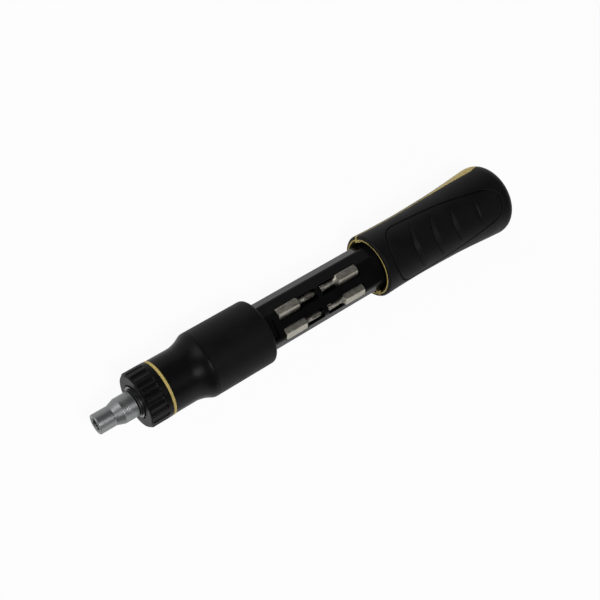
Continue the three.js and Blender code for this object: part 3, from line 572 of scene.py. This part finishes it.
def makeSelector():
    start, end = ends("selector_ring")
    radius, chamfer = selector["radius"], selector["chamfer"]
    faceEdge = (start, radius - chamfer, 0, 0, 1)
    wallEdge = (start - chamfer, radius, 0, 0, 1)
    runStart = start - chamfer - selector["fluteLength"] + selector["runOut"]
    runs = []
    for i in range(selector["runRings"] + 1):
        turn = pi / 2 * i / selector["runRings"]
        runs.append((runStart - selector["runOut"] * sin(turn), radius, 0, 0, cos(turn)))
    floorPlace = start - selector["floorDepth"]
    recess = start - selector["clipRecess"]
    corners = [
        (start, selector["faceBore"], selector["boreEdge"]),
        (start, radius - chamfer - selector["faceMargin"]),
        faceEdge, *between(faceEdge, wallEdge, selector["chamferRings"]), wallEdge, *runs,
        (end, radius, selector["edge"]), (end, selector["skirtBore"], selector["skirtEdge"]),
        (floorPlace, selector["skirtBore"]), (floorPlace, selector["bore"]),
        (recess, selector["bore"]), (recess, selector["faceBore"]),
    ]
    sides = selector["flutes"] * selector["sidesPerFlute"]
    piece = turned("selector_fluted", corners, "hard_black", sides, **fluting(selector, radius))
    dress(piece, "selector", "hard_black", "selector_ring")


# Accent band
band = lengths(radius=15.28, bore=13.3, edge=0.4)


def makeBand():
    start, end = ends("accent_band")
    corners = [
        (start, band["bore"]), (start, band["radius"], band["edge"]),
        (end, band["radius"], band["edge"]), (end, band["bore"]),
    ]
    dress(turned("band_yellow", corners, "yellow"), "tool_body", "yellow", "accent_band")


# Neck housing, which flares out to the collar
neck = dict(
    lengths(
        radius=15.1, flareLength=10.5, bore=13.3, coreRadius=16.3, innerRadius=11.5, web=6,
        socketRadius=13.78, rodBore=3.5, edge=0.3, flareEdge=0.35,
    ),
    rings=4,
    flareShares=(
        (0, 0), (0.09, 0.022), (0.18, 0.066), (0.28, 0.135), (0.38, 0.222), (0.48, 0.322), (0.58, 0.44),
        (0.68, 0.585), (0.76, 0.72), (0.84, 0.85), (0.9, 0.93), (0.95, 0.977), (1, 1),
    ),
)


def makeNeck():
    start, end = ends("front_housing")
    flareEnd = front("collar_sleeve") + collar["seam"]
    flareStart = flareEnd + neck["flareLength"]
    rise = collar["radius"] - neck["radius"]
    shoulder = rear("ratchet_base") - fit
    webEnd = front("bit_barrel") + fit
    webStart = webEnd + neck["web"]
    flare = [
        (flareStart - along * neck["flareLength"], neck["radius"] + out * rise)
        for along, out in neck["flareShares"]
    ]
    corners = [
        (start, neck["bore"]), (start, neck["radius"], neck["edge"]),
        *between((start, neck["radius"]), flare[0], neck["rings"]), *flare[:-1],
        (flareEnd, collar["radius"], neck["flareEdge"]), (flareEnd, neck["coreRadius"]),
        (end, neck["coreRadius"]), (end, neck["socketRadius"]),
        (webEnd, neck["socketRadius"]), (webEnd, neck["rodBore"]),
        (webStart, neck["rodBore"]), (webStart, neck["innerRadius"]),
        (shoulder, neck["innerRadius"]), (shoulder, neck["bore"]),
    ]
    dress(turned("neck_housing", corners, "hard_black"), "tool_body", "hard_black", "front_housing")


# Collar sleeve
collar = dict(
    lengths(
        radius=18.35, coreRadius=16.6, seam=0.12, frontEdge=0.25, rearFillet=3.5, rearWall=1.8,
        mouthRadius=14.15, mouthDepth=0.8, mouthEdge=0.2,
    ),
    rings=6,
)


def makeCollar():
    start, end = ends("collar_sleeve")
    radius = collar["radius"]
    inWall = end + collar["rearWall"]
    belowFlats = barrel["acrossFlats"] / 4
    corners = [
        (start, collar["coreRadius"], fineEdge), (start, radius, collar["frontEdge"]),
        *between((start, radius), (end, radius), collar["rings"]), (end, radius, collar["rearFillet"]),
        (end, collar["mouthRadius"], collar["mouthEdge"]),
        (end + collar["mouthDepth"], belowFlats, 0, hole), (inWall, belowFlats, 0, hole),
        (inWall, collar["coreRadius"]),
    ]
    piece = turned("collar_soft", corners, "soft_black", **{
        "Flats": barrel["sides"], "Across Flats": barrel["acrossFlats"] + 2 * fit,
        "Flat Rounding": barrel["edgeRadius"] + fit,
    })
    dress(piece, "tool_body", "soft_black", "collar_sleeve")


# Retaining clip: an open spring ring with two swollen ends
clip = dict(
    lengths(inner=7.25, outer=8.7, ear=1, edge=0.12),
    openingDegrees=113, turnDegrees=191.5, steps=60, earSides=24,
)


def makeClip():
    start, end = ends("retaining_clip")
    half = radians(clip["openingDegrees"]) / 2
    turn = radians(clip["turnDegrees"])
    angles = fan(turn + pi, pi - half, clip["steps"])
    bow = [around(angle) * clip["outer"] for angle in angles]
    bow += [around(angle) * clip["inner"] for angle in reversed(angles)]
    ring = prism("clip_ring", crossways(bow), start, end, "spring_steel")
    ears = []
    for side in (1, -1):
        centre = around(turn + side * half) * (clip["inner"] + clip["outer"]) / 2
        sides = clip["earSides"]
        ear = [centre + around(fullTurn * i / sides) * clip["ear"] for i in range(sides)]
        ears.append(prism(f"clip_ear_{side + 1}", crossways(ear), start, end, "spring_steel"))
    piece = cutOrJoin(ring, ears, "UNION", "clip_spring")
    dress(softenEdges(tidied(piece), clip["edge"]), "tool_body", "spring_steel", "retaining_clip")


# Stored bits: a hex end, a drawn-in neck and a shank with its tip. The front ones point to the rear.
bits = (
    "bit_cross_small", "bit_cross_large", "bit_star_small", "bit_star_large", "bit_flat_small",
    "bit_flat_large", "bit_cross_fine", "bit_star_fine",
)
frontBits = ("bit_cross_small", "bit_cross_large", "bit_flat_small", "bit_flat_large")
bitSizes = dict(
    lengths(
        acrossFlats=6.35, length=25.4, hexLength=14.2, edge=0.6, edgeDrop=0.96, shoulder=0.8,
        shoulderRun=0.16, shoulderEdge=0.2, shankRadius=1.7, neckRadius=1.62, neckStart=1.7,
        neckLength=1.6, neckRise=0.5, neckEdge=0.5,
    ),
    edgeRings=5, runRings=8, sides=120,
)
bitTips = {
    "cross": dict(
        lengths(fluteRadius=0.42, fluteDepth=0.9, length=6.2, run=2.2, cone=1.3, end=1.1), flutes=4,
    ),
    "star": dict(
        lengths(fluteRadius=0.42, fluteDepth=0.36, length=3.6, run=0.6, cone=0.5, end=1.462), flutes=6,
    ),
    "flat": dict(
        lengths(fluteRadius=40, fluteDepth=1.25, length=7, run=6, cone=0, end=1.7), flutes=2,
    ),
}


def makeBit(node):
    low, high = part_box(node)
    centre = middle(node)
    body = node.removeprefix("bit_")
    base, side = (high.x, -1) if node in frontBits else (low.x, 1)
    size, tip = bitSizes, bitTips[body.split("_")[0]]
    shank, soft, rings = size["shankRadius"], size["shoulderEdge"], size["edgeRings"]
    corners = []

    def add(along, radius, rounding=0.0, flats=0, flutes=0.0, parts=1):
        new = (base + side * along, radius, rounding, flats, flutes)
        if corners and parts > 1:
            corners.extend(between(corners[-1], new, parts))
        corners.append(new)

    hexCorner = size["acrossFlats"] / 2 * hexShare
    hexEnd = size["hexLength"]
    neckStart = hexEnd + size["neckStart"]
    neckEnd = neckStart + size["neckLength"]
    add(0, 0)
    add(0, hexCorner - size["edgeDrop"], fineEdge, 1)
    add(size["edge"], hexCorner + closeBy, 0, 1, parts=rings)
    add(hexEnd - size["edge"], hexCorner + closeBy, 0, 1)
    add(hexEnd + size["shoulderRun"], hexCorner - size["shoulder"], soft, 1, parts=rings)
    add(neckStart, size["neckRadius"], size["neckEdge"])
    add(neckEnd, size["neckRadius"], soft)
    add(neckEnd + size["neckRise"], shank, fineEdge)
    tipStart = size["length"] - tip["length"]
    add(tipStart, shank)
    for i in range(1, size["runRings"] + 1):
        share = i / size["runRings"]
        add(tipStart + tip["run"] * share, shank, flutes=sin(pi / 2 * share))
    if tip["cone"]:
        add(size["length"] - tip["cone"], shank, flutes=1)
    add(size["length"], tip["end"], flutes=1, parts=rings)
    add(size["length"], 0, flutes=1)
    piece = turned(f"stored_{body}", corners, "bit_steel", size["sides"], **{
        "Axis Side": centre.y, "Axis Height": centre.z, "Across Flats": size["acrossFlats"],
        "Flat Turn": hexTurn, **fluting(tip, shank),
    })
    dress(piece, body, "bit_steel", node)


# Bit barrel: an eight-sided bar with pockets that follow the bits' outlines
barrel = dict(
    lengths(
        acrossFlats=25.4, edgeRadius=3.5, landHalf=7.2, sideHalf=5.26, shankHalf=2.9, latchWidth=4.2,
        latchDepth=1.5, latchBreadth=10.4, latchFromCollar=1.2, edge=0.16,
    ),
    sides=8, sharpDegrees=20,
)


def barrelOutline():
    half, land, side = barrel["acrossFlats"] / 2, barrel["landHalf"], barrel["sideHalf"]
    quarter = [(half, side), (land, half)]
    places = quarter + [(-y, z) for y, z in reversed(quarter)]
    places += [(-y, -z) for y, z in places]
    points = rounded([(y, z, barrel["edgeRadius"]) for y, z in places], True)
    return [(place.x, axisHeight + place.y) for place, flats, flutes in points]


def block(name, low, high):
    outline = [(low[1], low[2]), (high[1], low[2]), (high[1], high[2]), (low[1], high[2])]
    return prism(name, outline, low[0], high[0], "gloss_black")


def pocketCutters(bit):  # a seat for the hex end, and ways out for it and for the shank
    low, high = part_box(bit)
    centre = middle(bit)
    face = 1 if centre.z > axisHeight else -1
    half = (high.y - low.y) / 2 + fit
    length, shank = bitSizes["hexLength"], barrel["shankHalf"]
    start, end = (high.x, high.x - length) if bit in frontBits else (low.x + length, low.x)
    seat = [
        (centre.y + half * hexShare * sin(pi / 3 * i), centre.z + half * hexShare * cos(pi / 3 * i))
        for i in range(6)
    ]
    top = centre.z + barrel["acrossFlats"] * face
    cutters = [prism(f"seat_{bit}", seat, start + fit, end - fit, "gloss_black")]
    spans = ((end - fit, start + fit, half, 0), (low.x - fit, high.x + fit, shank, shank))
    for i, (x0, x1, wide, sink) in enumerate(spans):
        z0, z1 = sorted((centre.z - sink * face, top))
        cutters.append(block(f"way_{i}_{bit}", (x0, centre.y - wide, z0), (x1, centre.y + wide, z1)))
    return cutters


def makeBarrel():
    start, end = ends("bit_barrel")
    body = prism("barrel_body", barrelOutline(), start, end, "gloss_black")
    facet = barrel["acrossFlats"] / 2
    latchStart = rear("collar_sleeve") - barrel["latchFromCollar"]
    latchEnd = latchStart - barrel["latchWidth"]
    wide = barrel["latchBreadth"] / 2
    cutters = [cutter for bit in bits for cutter in pocketCutters(bit)]
    for face in (1, -1):
        floor = axisHeight + face * (facet - barrel["latchDepth"])
        z0, z1 = sorted((floor, axisHeight + face * 2 * facet))
        cutters.append(block(f"latch_{face + 1}", (latchEnd, -wide, z0), (latchStart, wide, z1)))
    piece = cutOrJoin(body, cutters, "DIFFERENCE", "barrel_gloss")
    piece = softenEdges(tidied(piece, barrel["sharpDegrees"]), barrel["edge"])
    dress(piece, "tool_body", "gloss_black", "bit_barrel")


# Handle: its skin's outline, the windows of its two seams, and the parts that share them.
# Rows are from, to and step in millimetres behind the mouth. The tables hold shares of sizes.
handle = dict(
    lengths(
        rim=1.5, gripWall=1.45, coreInset=1.62, domeLength=11.49, buttFlat=6, seamHalfWidth=5.6,
        ribGap=0.13, ribSink=0.03, ribBite=0.35, shellRibStep=0.8, lipRibStep=0.15, slack=0.02,
        lipLength=3, lipBore=14.42, lipWall=1.2, lipFit=0.2, lipEdge=0.15, lipFunnel=2.4,
        funnelEdge=0.8, spigotLength=5.3, ringWidth=0.85, ringDepth=1.6, ringEdge=0.25, patchWidth=2.1,
        patchDepth=1.1, patchSink=0.1, boreRadius=15.85, coreEdge=1, coreEndRadius=9,
    ),
    domePower=2.7, widestShare=0.888, seamTurnDegrees=94, ribColumns=8, coreSides=144,
    coreRows=((3.3, 88, 4), (88, 97.2, 0.8)),
    skinShares=(
        (0, 0.866), (0.031, 0.8653), (0.11, 0.8537), (0.2, 0.849), (0.3, 0.849), (0.373, 0.8575),
        (0.468, 0.87), (0.592, 0.8932), (0.718, 0.9351), (0.803, 0.969), (0.888, 1),
    ),
    seamShares=(
        (0, 0.08), (0.45, 0.09), (0.52, 0.14), (0.57, 0.23), (0.64, 0.38), (0.7, 0.54), (0.77, 0.77),
        (0.835, 0.985), (0.86, 1), (0.885, 0.94), (0.91, 0.8), (0.93, 0.52), (0.94, 0.28), (0.945, 0),
    ),
)
mouthPlace = front("handle_grip")
handleLength = mouthPlace - rear("handle_grip")
widest = (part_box("handle_grip")[1].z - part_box("handle_grip")[0].z) / 2
seamTurns = [radians(handle["seamTurnDegrees"] + side * 180) for side in (0, 1)]


def smoothed(table, along):  # a smooth curve through a table's points
    last = len(table) - 1
    if along <= table[0][0]:
        return table[0][1]
    if along >= table[last][0]:
        return table[last][1]
    i = max(k for k in range(last) if table[k][0] <= along)

    def slope(k):
        low, high = max(k - 1, 0), min(k + 1, last)
        return (table[high][1] - table[low][1]) / (table[high][0] - table[low][0])

    x0, y0 = table[i]
    x1, y1 = table[i + 1]
    step = x1 - x0
    t = (along - x0) / step
    level = y0 * (1 + 2 * t) * (1 - t) ** 2 + y1 * t * t * (3 - 2 * t)
    return level + step * t * (1 - t) * (slope(i) * (1 - t) - slope(i + 1) * t)


def baseRadius(back):  # the grip's radius at a distance behind the mouth, without its rounded rim
    beyond = back - handle["widestShare"] * handleLength
    if beyond <= 0:
        return widest * smoothed(handle["skinShares"], back / handleLength)
    return widest * sqrt(max(0, 1 - (beyond / handle["domeLength"]) ** handle["domePower"]))


def edgeDrop(off, reach):  # how far a round edge has fallen at a distance from its end
    return reach * (1 - sqrt(max(0, 1 - (1 - off / reach) ** 2))) if off < reach else 0


def windowHalf(back):  # half the width of a seam's window
    share = back / handleLength
    if share >= handle["seamShares"][-1][0]:
        return 0
    return handle["seamHalfWidth"] * max(0, smoothed(handle["seamShares"], share))


def stationList(spans):
    stations = []
    for start, end, step in spans:
        count = max(1, round((end - start) / step))
        stations += [(start + (end - start) * i / count) * mm for i in range(count)]
    return stations + [spans[-1][1] * mm]


# Grip: two soft pads that meet in the butt, with an engraved tongue and four finger grooves each.
# A bend says how far a line falls back for each square metre across.
grip = dict(
    lengths(
        edge=0.5, edgeSpan=1.1, buttDrop=0.05, tongueFront=6.35, tongueRear=86.5, frontRounding=5,
        rearRounding=6.5, tongueWidth=0.6, tongueDepth=1, tongueSpan=0.8, tongueMargin=3,
    ),
    rows=(
        (0, 1.3, 0.14), (1.3, 5.8, 0.5), (5.8, 17.6, 0.26), (17.6, 76, 0.27), (76, 88, 0.27),
        (88, 93.6, 0.4), (93.6, 94.6, 0.2), (94.6, 98.2, 0.35),
    ),
    columns=(26, 8, 12, 6), innerColumns=16, sharpDegrees=50, edgeShare=0.125,
    buttShares=(1, 0.94, 0.8, 0.6, 0.4, 0.2, 0), frontBend=21, rearBend=21,
    tongueShares=((0, 0.9), (0.17, 0.888), (0.46, 0.777), (0.61, 0.66), (0.79, 0.478), (0.88, 0.41)),
    fingers=(
        lengths(place=22.6, reach=15.6, width=4.2, depth=1.2),
        lengths(place=37.1, reach=14, width=4, depth=1.15),
        lengths(place=51.8, reach=11, width=3.6, depth=1.05),
        lengths(place=69.2, reach=6.6, width=2.4, depth=0.45),
    ),
    fingerBend=23, frontWallShare=0.32, rearWallShare=0.74,
)


def tongueHalf(back):
    return widest * smoothed(grip["tongueShares"], back / handleLength)


def tongueDistance(back, across):  # how far a place lies outside the tongue's outline
    out = abs(across) - tongueHalf(back)
    ahead = grip["tongueFront"] + grip["frontBend"] * across * across - back
    behind = back - grip["tongueRear"] + grip["rearBend"] * across * across
    end, rounding = (ahead, grip["frontRounding"]) if ahead > behind else (behind, grip["rearRounding"])
    a, b = out + rounding, end + rounding
    return sqrt(max(a, 0) ** 2 + max(b, 0) ** 2) + min(max(a, b), 0) - rounding


def bowl(t):  # a smooth hollow, 1 in its middle and 0 at its edges
    return (1 - t * t) ** 2 if abs(t) < 1 else 0


def fingerDepth(back, across):
    total = 0
    for finger in grip["fingers"]:
        along = across / finger["reach"]
        if abs(along) >= 1:
            continue
        taper = 1 - along * along
        off = back - finger["place"] - grip["fingerBend"] * across * across
        wall = grip["frontWallShare" if off < 0 else "rearWallShare"] * finger["width"] * sqrt(taper)
        total += finger["depth"] * taper * bowl(off / wall)
    return total


def padAngles(back, radius):  # the angles of a pad's columns from its middle to its edge, and that edge
    edge = pi / 2
    half = windowHalf(back)
    if half > 0:
        edge -= asin(min(1, (half + handle["ribGap"] * 2) / radius))
    reach = min(tongueHalf(back), radius * edge - grip["tongueMargin"]) / radius
    narrow = grip["tongueSpan"] / radius
    soft = min(grip["edgeSpan"] / radius, edge * grip["edgeShare"])
    marks = [0, reach - narrow, reach + narrow, edge - soft, edge]
    angles = [0]
    for low, high, count in zip(marks, marks[1:], grip["columns"]):
        angles += [low + (high - low) * (i + 1) / count for i in range(count)]
    return angles, edge, half > 0


def gripRadius(back, radius, angle, edge, isOpen):
    across = angle * radius
    depth = grip["tongueDepth"] * bowl(tongueDistance(back, across) / grip["tongueWidth"])
    depth += fingerDepth(back, across) + edgeDrop(back, handle["rim"])
    if isOpen:
        depth += edgeDrop((edge - abs(angle)) * radius, grip["edge"])
    return radius - depth


def gripOutline():  # each row's place and radius, outside and inside, out to the pole of the butt
    outer = [(back, baseRadius(back)) for back in stationList(grip["rows"])]
    outer = [(back, radius) for back, radius in outer if radius > handle["buttFlat"]]
    for share in grip["buttShares"]:
        outer.append((handleLength - grip["buttDrop"] * share * share, handle["buttFlat"] * share))
    inner = []
    for i, (back, radius) in enumerate(outer):
        before, after = Vector(outer[max(i - 1, 0)]), Vector(outer[min(i + 1, len(outer) - 1)])
        way = (after - before).normalized()
        place = Vector((back, radius)) + Vector((way.y, -way.x)) * handle["gripWall"]
        if i == 0:
            place.x = 0
        inner.append((place.x, max(place.y, 0)))
    return outer, inner


def zipped(first, second):  # faces between two rows of points with different counts
    faces = []
    i = j = 0
    lastFirst, lastSecond = len(first) - 1, len(second) - 1
    while i < lastFirst or j < lastSecond:
        if (i + 1) / lastFirst <= (j + 1) / lastSecond:
            faces.append((first[i], first[i + 1], second[j]))
            i += 1
        else:
            faces.append((first[i], second[j + 1], second[j]))
            j += 1
    return faces


def sheetFaces(rows):
    faces = []
    for upper, lower in zip(rows, rows[1:]):
        faces += [(upper[j], upper[j + 1], lower[j + 1], lower[j]) for j in range(len(upper) - 1)]
    return faces


def makeGrip():
    outer, inner = gripOutline()
    points, faces = [], []

    def place(back, radius, angle):
        points.append(onAxis(mouthPlace - back, radius, angle))
        return len(points) - 1

    for seam in seamTurns:
        centre = seam - pi / 2
        skinRows, coreRows, openRows = [], [], []
        for (back, radius), (innerBack, innerRadius) in zip(outer, inner):
            if radius > handle["buttFlat"]:
                angles, edge, isOpen = padAngles(back, radius)
            skin = []
            for angle in [-angle for angle in reversed(angles[1:])] + angles:
                cut = gripRadius(back, radius, angle, edge, isOpen) if radius > 0 else 0
                skin.append(place(back, cut, centre + angle))
            skinRows.append(skin)
            turns = fan(centre, edge, grip["innerColumns"])
            coreRows.append([place(innerBack, innerRadius, turn) for turn in turns])
            openRows.append(isOpen)
        faces += sheetFaces(skinRows) + sheetFaces([row[::-1] for row in coreRows])
        faces += zipped(skinRows[0], coreRows[0])
        for i in range(len(skinRows) - 1):
            if openRows[i]:
                for k in (0, -1):
                    wall = (skinRows[i][k], skinRows[i + 1][k], coreRows[i + 1][k], coreRows[i][k])
                    faces.append(wall)
    piece = tidied(meshPiece("grip_soft", points, faces, "soft_black"), grip["sharpDegrees"])
    dress(piece, "handle", "soft_black", "handle_grip")


# The yellow ribs that fill the seams, and the two hard parts that carry them
def ribStrip(name, seam, start, end, step):
    count = max(2, round((end - start) / step))
    points, rows = [], []
    for i in range(count + 1):
        back = start + (end - start) * i / count
        radius = baseRadius(back)
        upper = radius - edgeDrop(back, handle["rim"]) - handle["ribSink"]
        lower = radius - handle["coreInset"] - handle["ribBite"]
        wide = max(windowHalf(back) + handle["ribGap"] * (back < end), closeBy * 2)
        turns = fan(seam, asin(min(1, wide / upper)), handle["ribColumns"])
        first = len(points)
        points += [onAxis(mouthPlace - back, upper, turn) for turn in turns]
        points += [onAxis(mouthPlace - back, lower, turn) for turn in reversed(turns)]
        rows.append([*range(first, len(points)), first])
    faces = sheetFaces(rows) + [tuple(rows[0][:-1]), tuple(rows[-1][:-1])]
    return tidied(meshPiece(name, points, faces, "yellow"))


def makeShell():
    lipEnd, wall, flat = handle["lipLength"], handle["boreRadius"], handle["coreEndRadius"]
    seat = handle["lipBore"] + handle["lipWall"] + handle["lipFit"]
    seatEnd = mouthPlace - lipEnd - handle["spigotLength"] - fit
    end = mouthPlace - handleLength + handle["coreInset"]
    travel = rear("collar_sleeve") - mouthPlace
    boreEnd = rear("tie_rod_nut") - travel - fit
    skin = [
        (mouthPlace - back, baseRadius(back) - handle["coreInset"])
        for back in stationList(handle["coreRows"])
    ]
    corners = [
        (boreEnd, 0), (boreEnd, wall, handle["coreEdge"]), (seatEnd, wall),
        (seatEnd, seat), (mouthPlace - lipEnd - fit, seat),
        *[place for place in skin if place[1] > handle["buttFlat"] and place[0] > end + fit],
        (end, flat, handle["coreEdge"]), (end, 0),
    ]
    core = turned("shell_core", corners, "yellow", handle["coreSides"])
    ribStart, ribEnd = lipEnd + handle["slack"], handle["seamShares"][-1][0] * handleLength
    ribs = [
        ribStrip(f"shell_rib_{i}", seam, ribStart, ribEnd, handle["shellRibStep"])
        for i, seam in enumerate(seamTurns)
    ]
    piece = tidied(cutOrJoin(core, ribs, "UNION", "shell_yellow"))
    dress(piece, "handle", "yellow", "handle_shell")


def makeLip():
    length, bore, edge, slack = (handle[name] for name in ("lipLength", "lipBore", "lipEdge", "slack"))
    end = mouthPlace - length
    spigotEnd = end - handle["spigotLength"]
    ringEnd = mouthPlace - handle["ringDepth"]
    outer = baseRadius(length) - handle["coreInset"]
    inner = outer - handle["ringWidth"]
    seat = bore + handle["lipWall"]
    # the funnel inside the lip's ring, in a dark yellow that paints the shade falling deep inside it
    shadedFunnel = [
        (mouthPlace - edge, inner - slack, fineEdge), (ringEnd - slack, inner - slack),
        (ringEnd - slack, outer), (end, outer, fineEdge), (end, seat),
        (spigotEnd, seat, edge), (spigotEnd, bore, edge),
        (mouthPlace - handle["lipFunnel"], bore, handle["funnelEdge"]),
    ]
    dress(turned("lip_funnel_painted_shade", shadedFunnel, "yellow_painted_shade"), "handle", "yellow", "handle_lip")
    ring = turned("lip_hoop", [
        (mouthPlace, inner, edge), (mouthPlace, outer, handle["ringEdge"]),
        (ringEnd, outer), (ringEnd, inner),
    ], "yellow")
    ribs = []
    for i, seam in enumerate(seamTurns):
        ribs.append(ribStrip(f"lip_rib_{i}", seam, 0, length, handle["lipRibStep"]))
        turns = fan(seam, handle["patchWidth"] / outer, handle["ribColumns"])
        patch = [around(turn) * (inner + handle["ringWidth"] / 2) for turn in turns]
        patch += [around(turn) * (inner - handle["patchDepth"]) for turn in reversed(turns)]
        patchFront = mouthPlace - handle["patchSink"]
        ribs.append(prism(f"lip_patch_{i}", crossways(patch), ringEnd, patchFront, "yellow"))
    piece = tidied(cutOrJoin(ring, ribs, "UNION", "lip_yellow"))
    dress(piece, "handle", "yellow", "handle_lip")


# Springs: a helix in a node tree, for each coil spring inside that presses on a ball
springInputs = {"Float": ("Turns", "Length", "Coil Radius", "Wire Radius"), "Material": ("Material",)}
springs = {
    "click_spring": dict(lengths(wire=0.17, slack=0.35), turns=5.0, axis="X"),
    "slide_spring": dict(lengths(wire=0.24, slack=0.35), turns=6.0, axis="Z"),
}
coilSteps = 20
wireSides = 10


def buildSpringTree():
    g, given = newTree("coil spring", springInputs)
    coil = g.node("GeometryNodeCurveSpiral", {}, {
        "Resolution": coilSteps, "Rotations": given["Turns"], "Start Radius": given["Coil Radius"],
        "End Radius": given["Coil Radius"], "Height": given["Length"],
    })
    wire = g.node("GeometryNodeCurvePrimitiveCircle", {}, {
        "Resolution": wireSides, "Radius": given["Wire Radius"],
    })
    return endTree(g, given, g.node("GeometryNodeCurveToMesh", {}, {
        "Curve": coil, "Profile Curve": wire, "Fill Caps": True,
    }))


springTree = buildSpringTree()


def makeSpring(node, size):
    low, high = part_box(node)
    lengthwise = "XYZ".index(size["axis"])
    wide = min((high - low)[k] for k in range(3) if k != lengthwise) / 2
    length = (high - low)[lengthwise] - size["slack"] - 2 * size["wire"]
    piece = runTree(springTree, link(node, bpy.data.meshes.new(node)), f"coil_{node}", {
        "Turns": size["turns"], "Length": length, "Coil Radius": wide - size["wire"],
        "Wire Radius": size["wire"], "Material": finish["spring_steel"],
    })
    foot = middle(node)
    foot[lengthwise] = low[lengthwise] + size["wire"]  # its fixed end is the lower or the rear one
    turn = Matrix.Rotation(pi / 2, 4, "Y") if size["axis"] == "X" else Matrix.Identity(4)
    piece.data.transform(Matrix.Translation(foot) @ turn)
    dress(tidied(piece), "tool_body", "spring_steel", node)


makeHolder()
makeSelector()
makeBand()
makeNeck()
makeCollar()
makeClip()
print("turned pieces made")
makeBarrel()
for node in bits:
    makeBit(node)
print("barrel and bits made")
makeGrip()
makeShell()
makeLip()
print("handle made")
for node, size in springs.items():
    makeSpring(node, size)

# Finishes of the carried-over pieces inside
insideFinish = {
    "dark_steel": (
        "holder_magnet", "drive_spindle", "ratchet_", "selector_cam", "pawl_forward", "pawl_reverse",
    ),
    "bronze": ("thrust_washer", "front_bushing", "tail_bushing"),
    "spring_steel": (
        "click_ball", "slide_ball", "tie_rod", "cage_screw", "housing_screw", "pawl_pin", "pawl_spring",
    ),
    "hard_black": ("slide_stop",),
}
for node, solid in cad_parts.items():
    for coat, starts in insideFinish.items():
        if node.startswith(starts):
            solid.material_slots[0].material = finish[coat]
print("inner pieces finished")

# Floor, light and camera, in metres. The camera's place is from the frame's origin at the axis's height.
studio = dict(
    floorSize=6.0, floorShade=(0.86, 0.86, 0.86, 1), floorGlow=0.94,
    skyStops=((0, 1), (0.05, 1), (0.18, 0.14), (1, 0.11)),
    lamps=(
        dict(place=(0.2, 0.05, 1.25), power=7.5, size=0.45),
        dict(place=(-0.25, 1.1, 0.45), power=3.9, size=1.0),
        dict(place=(0.75, -0.9, 0.5), power=6.0, size=0.7),
    ),
)
lens = dict(
    focal=66, sensor=36, place=(0.26678, -0.16645, 0.50283), right=(-0.7783, 0.3578, 0.5155),
    up=(-0.4491, -0.8911, -0.0593), back=(0.4384, -0.2776, 0.8545),
)


def makeFloor():
    half = studio["floorSize"] / 2
    mesh = bpy.data.meshes.new("floor")
    points = [(-half, -half, 0), (half, -half, 0), (half, half, 0), (-half, half, 0)]
    mesh.from_pydata(points, [], [(0, 1, 2, 3)])
    material = bpy.data.materials.new("floor")
    g = emptied(material)
    rays = ("Is Camera Ray", "Is Glossy Ray", "Is Transmission Ray")
    camera, glossy, through = (g.node("ShaderNodeLightPath", out=ray) for ray in rays)
    share = studio["floorGlow"] * greater(greater(camera, glossy), through)
    paint = g.node("ShaderNodeBsdfDiffuse", {}, {"Color": studio["floorShade"]})
    glow = g.node("ShaderNodeEmission", {}, {"Color": (1, 1, 1, 1), "Strength": 1})
    mixed = g.node("ShaderNodeMixShader", {}, {0: share, 1: paint, 2: glow})
    g.node("ShaderNodeOutputMaterial", {}, {"Surface": mixed})
    mesh.materials.append(material)
    link("floor", mesh)


def makeLight():
    world = bpy.data.worlds.new("studio")
    bpy.context.scene.world = world
    g = emptied(world)
    way = g.node("ShaderNodeTexCoord", out=0)
    height = g.node("ShaderNodeSeparateXYZ", {}, {0: way}, out=2)
    shade = g.node("ShaderNodeValToRGB", {"stops": studio["skyStops"]}, {0: height})
    sky = g.node("ShaderNodeBackground", {}, {"Color": shade, "Strength": 1})
    g.node("ShaderNodeOutputWorld", {}, {"Surface": sky})
    for i, lamp in enumerate(studio["lamps"]):
        light = bpy.data.lights.new(f"lamp_{i}", "AREA")
        light.energy = lamp["power"]
        light.size = lamp["size"]
        source = link(f"lamp_{i}", light)
        source.location = lamp["place"]
        source.rotation_euler = (-Vector(lamp["place"])).to_track_quat("-Z", "Y").to_euler()


def makeCamera():
    data = bpy.data.cameras.new("camera")
    data.lens = lens["focal"]
    data.sensor_width = lens["sensor"]
    camera = link("camera", data)
    turn = Matrix((lens["right"], lens["up"], lens["back"])).transposed().to_4x4()
    camera.matrix_world = Matrix.Translation(Vector(lens["place"]) + Vector((0, 0, axisHeight))) @ turn
    bpy.context.scene.camera = camera


makeFloor()
makeLight()
makeCamera()
bpy.context.scene.view_settings.view_transform = "Standard"
print("floor, light and camera made")

bpy.context.view_layer.update()
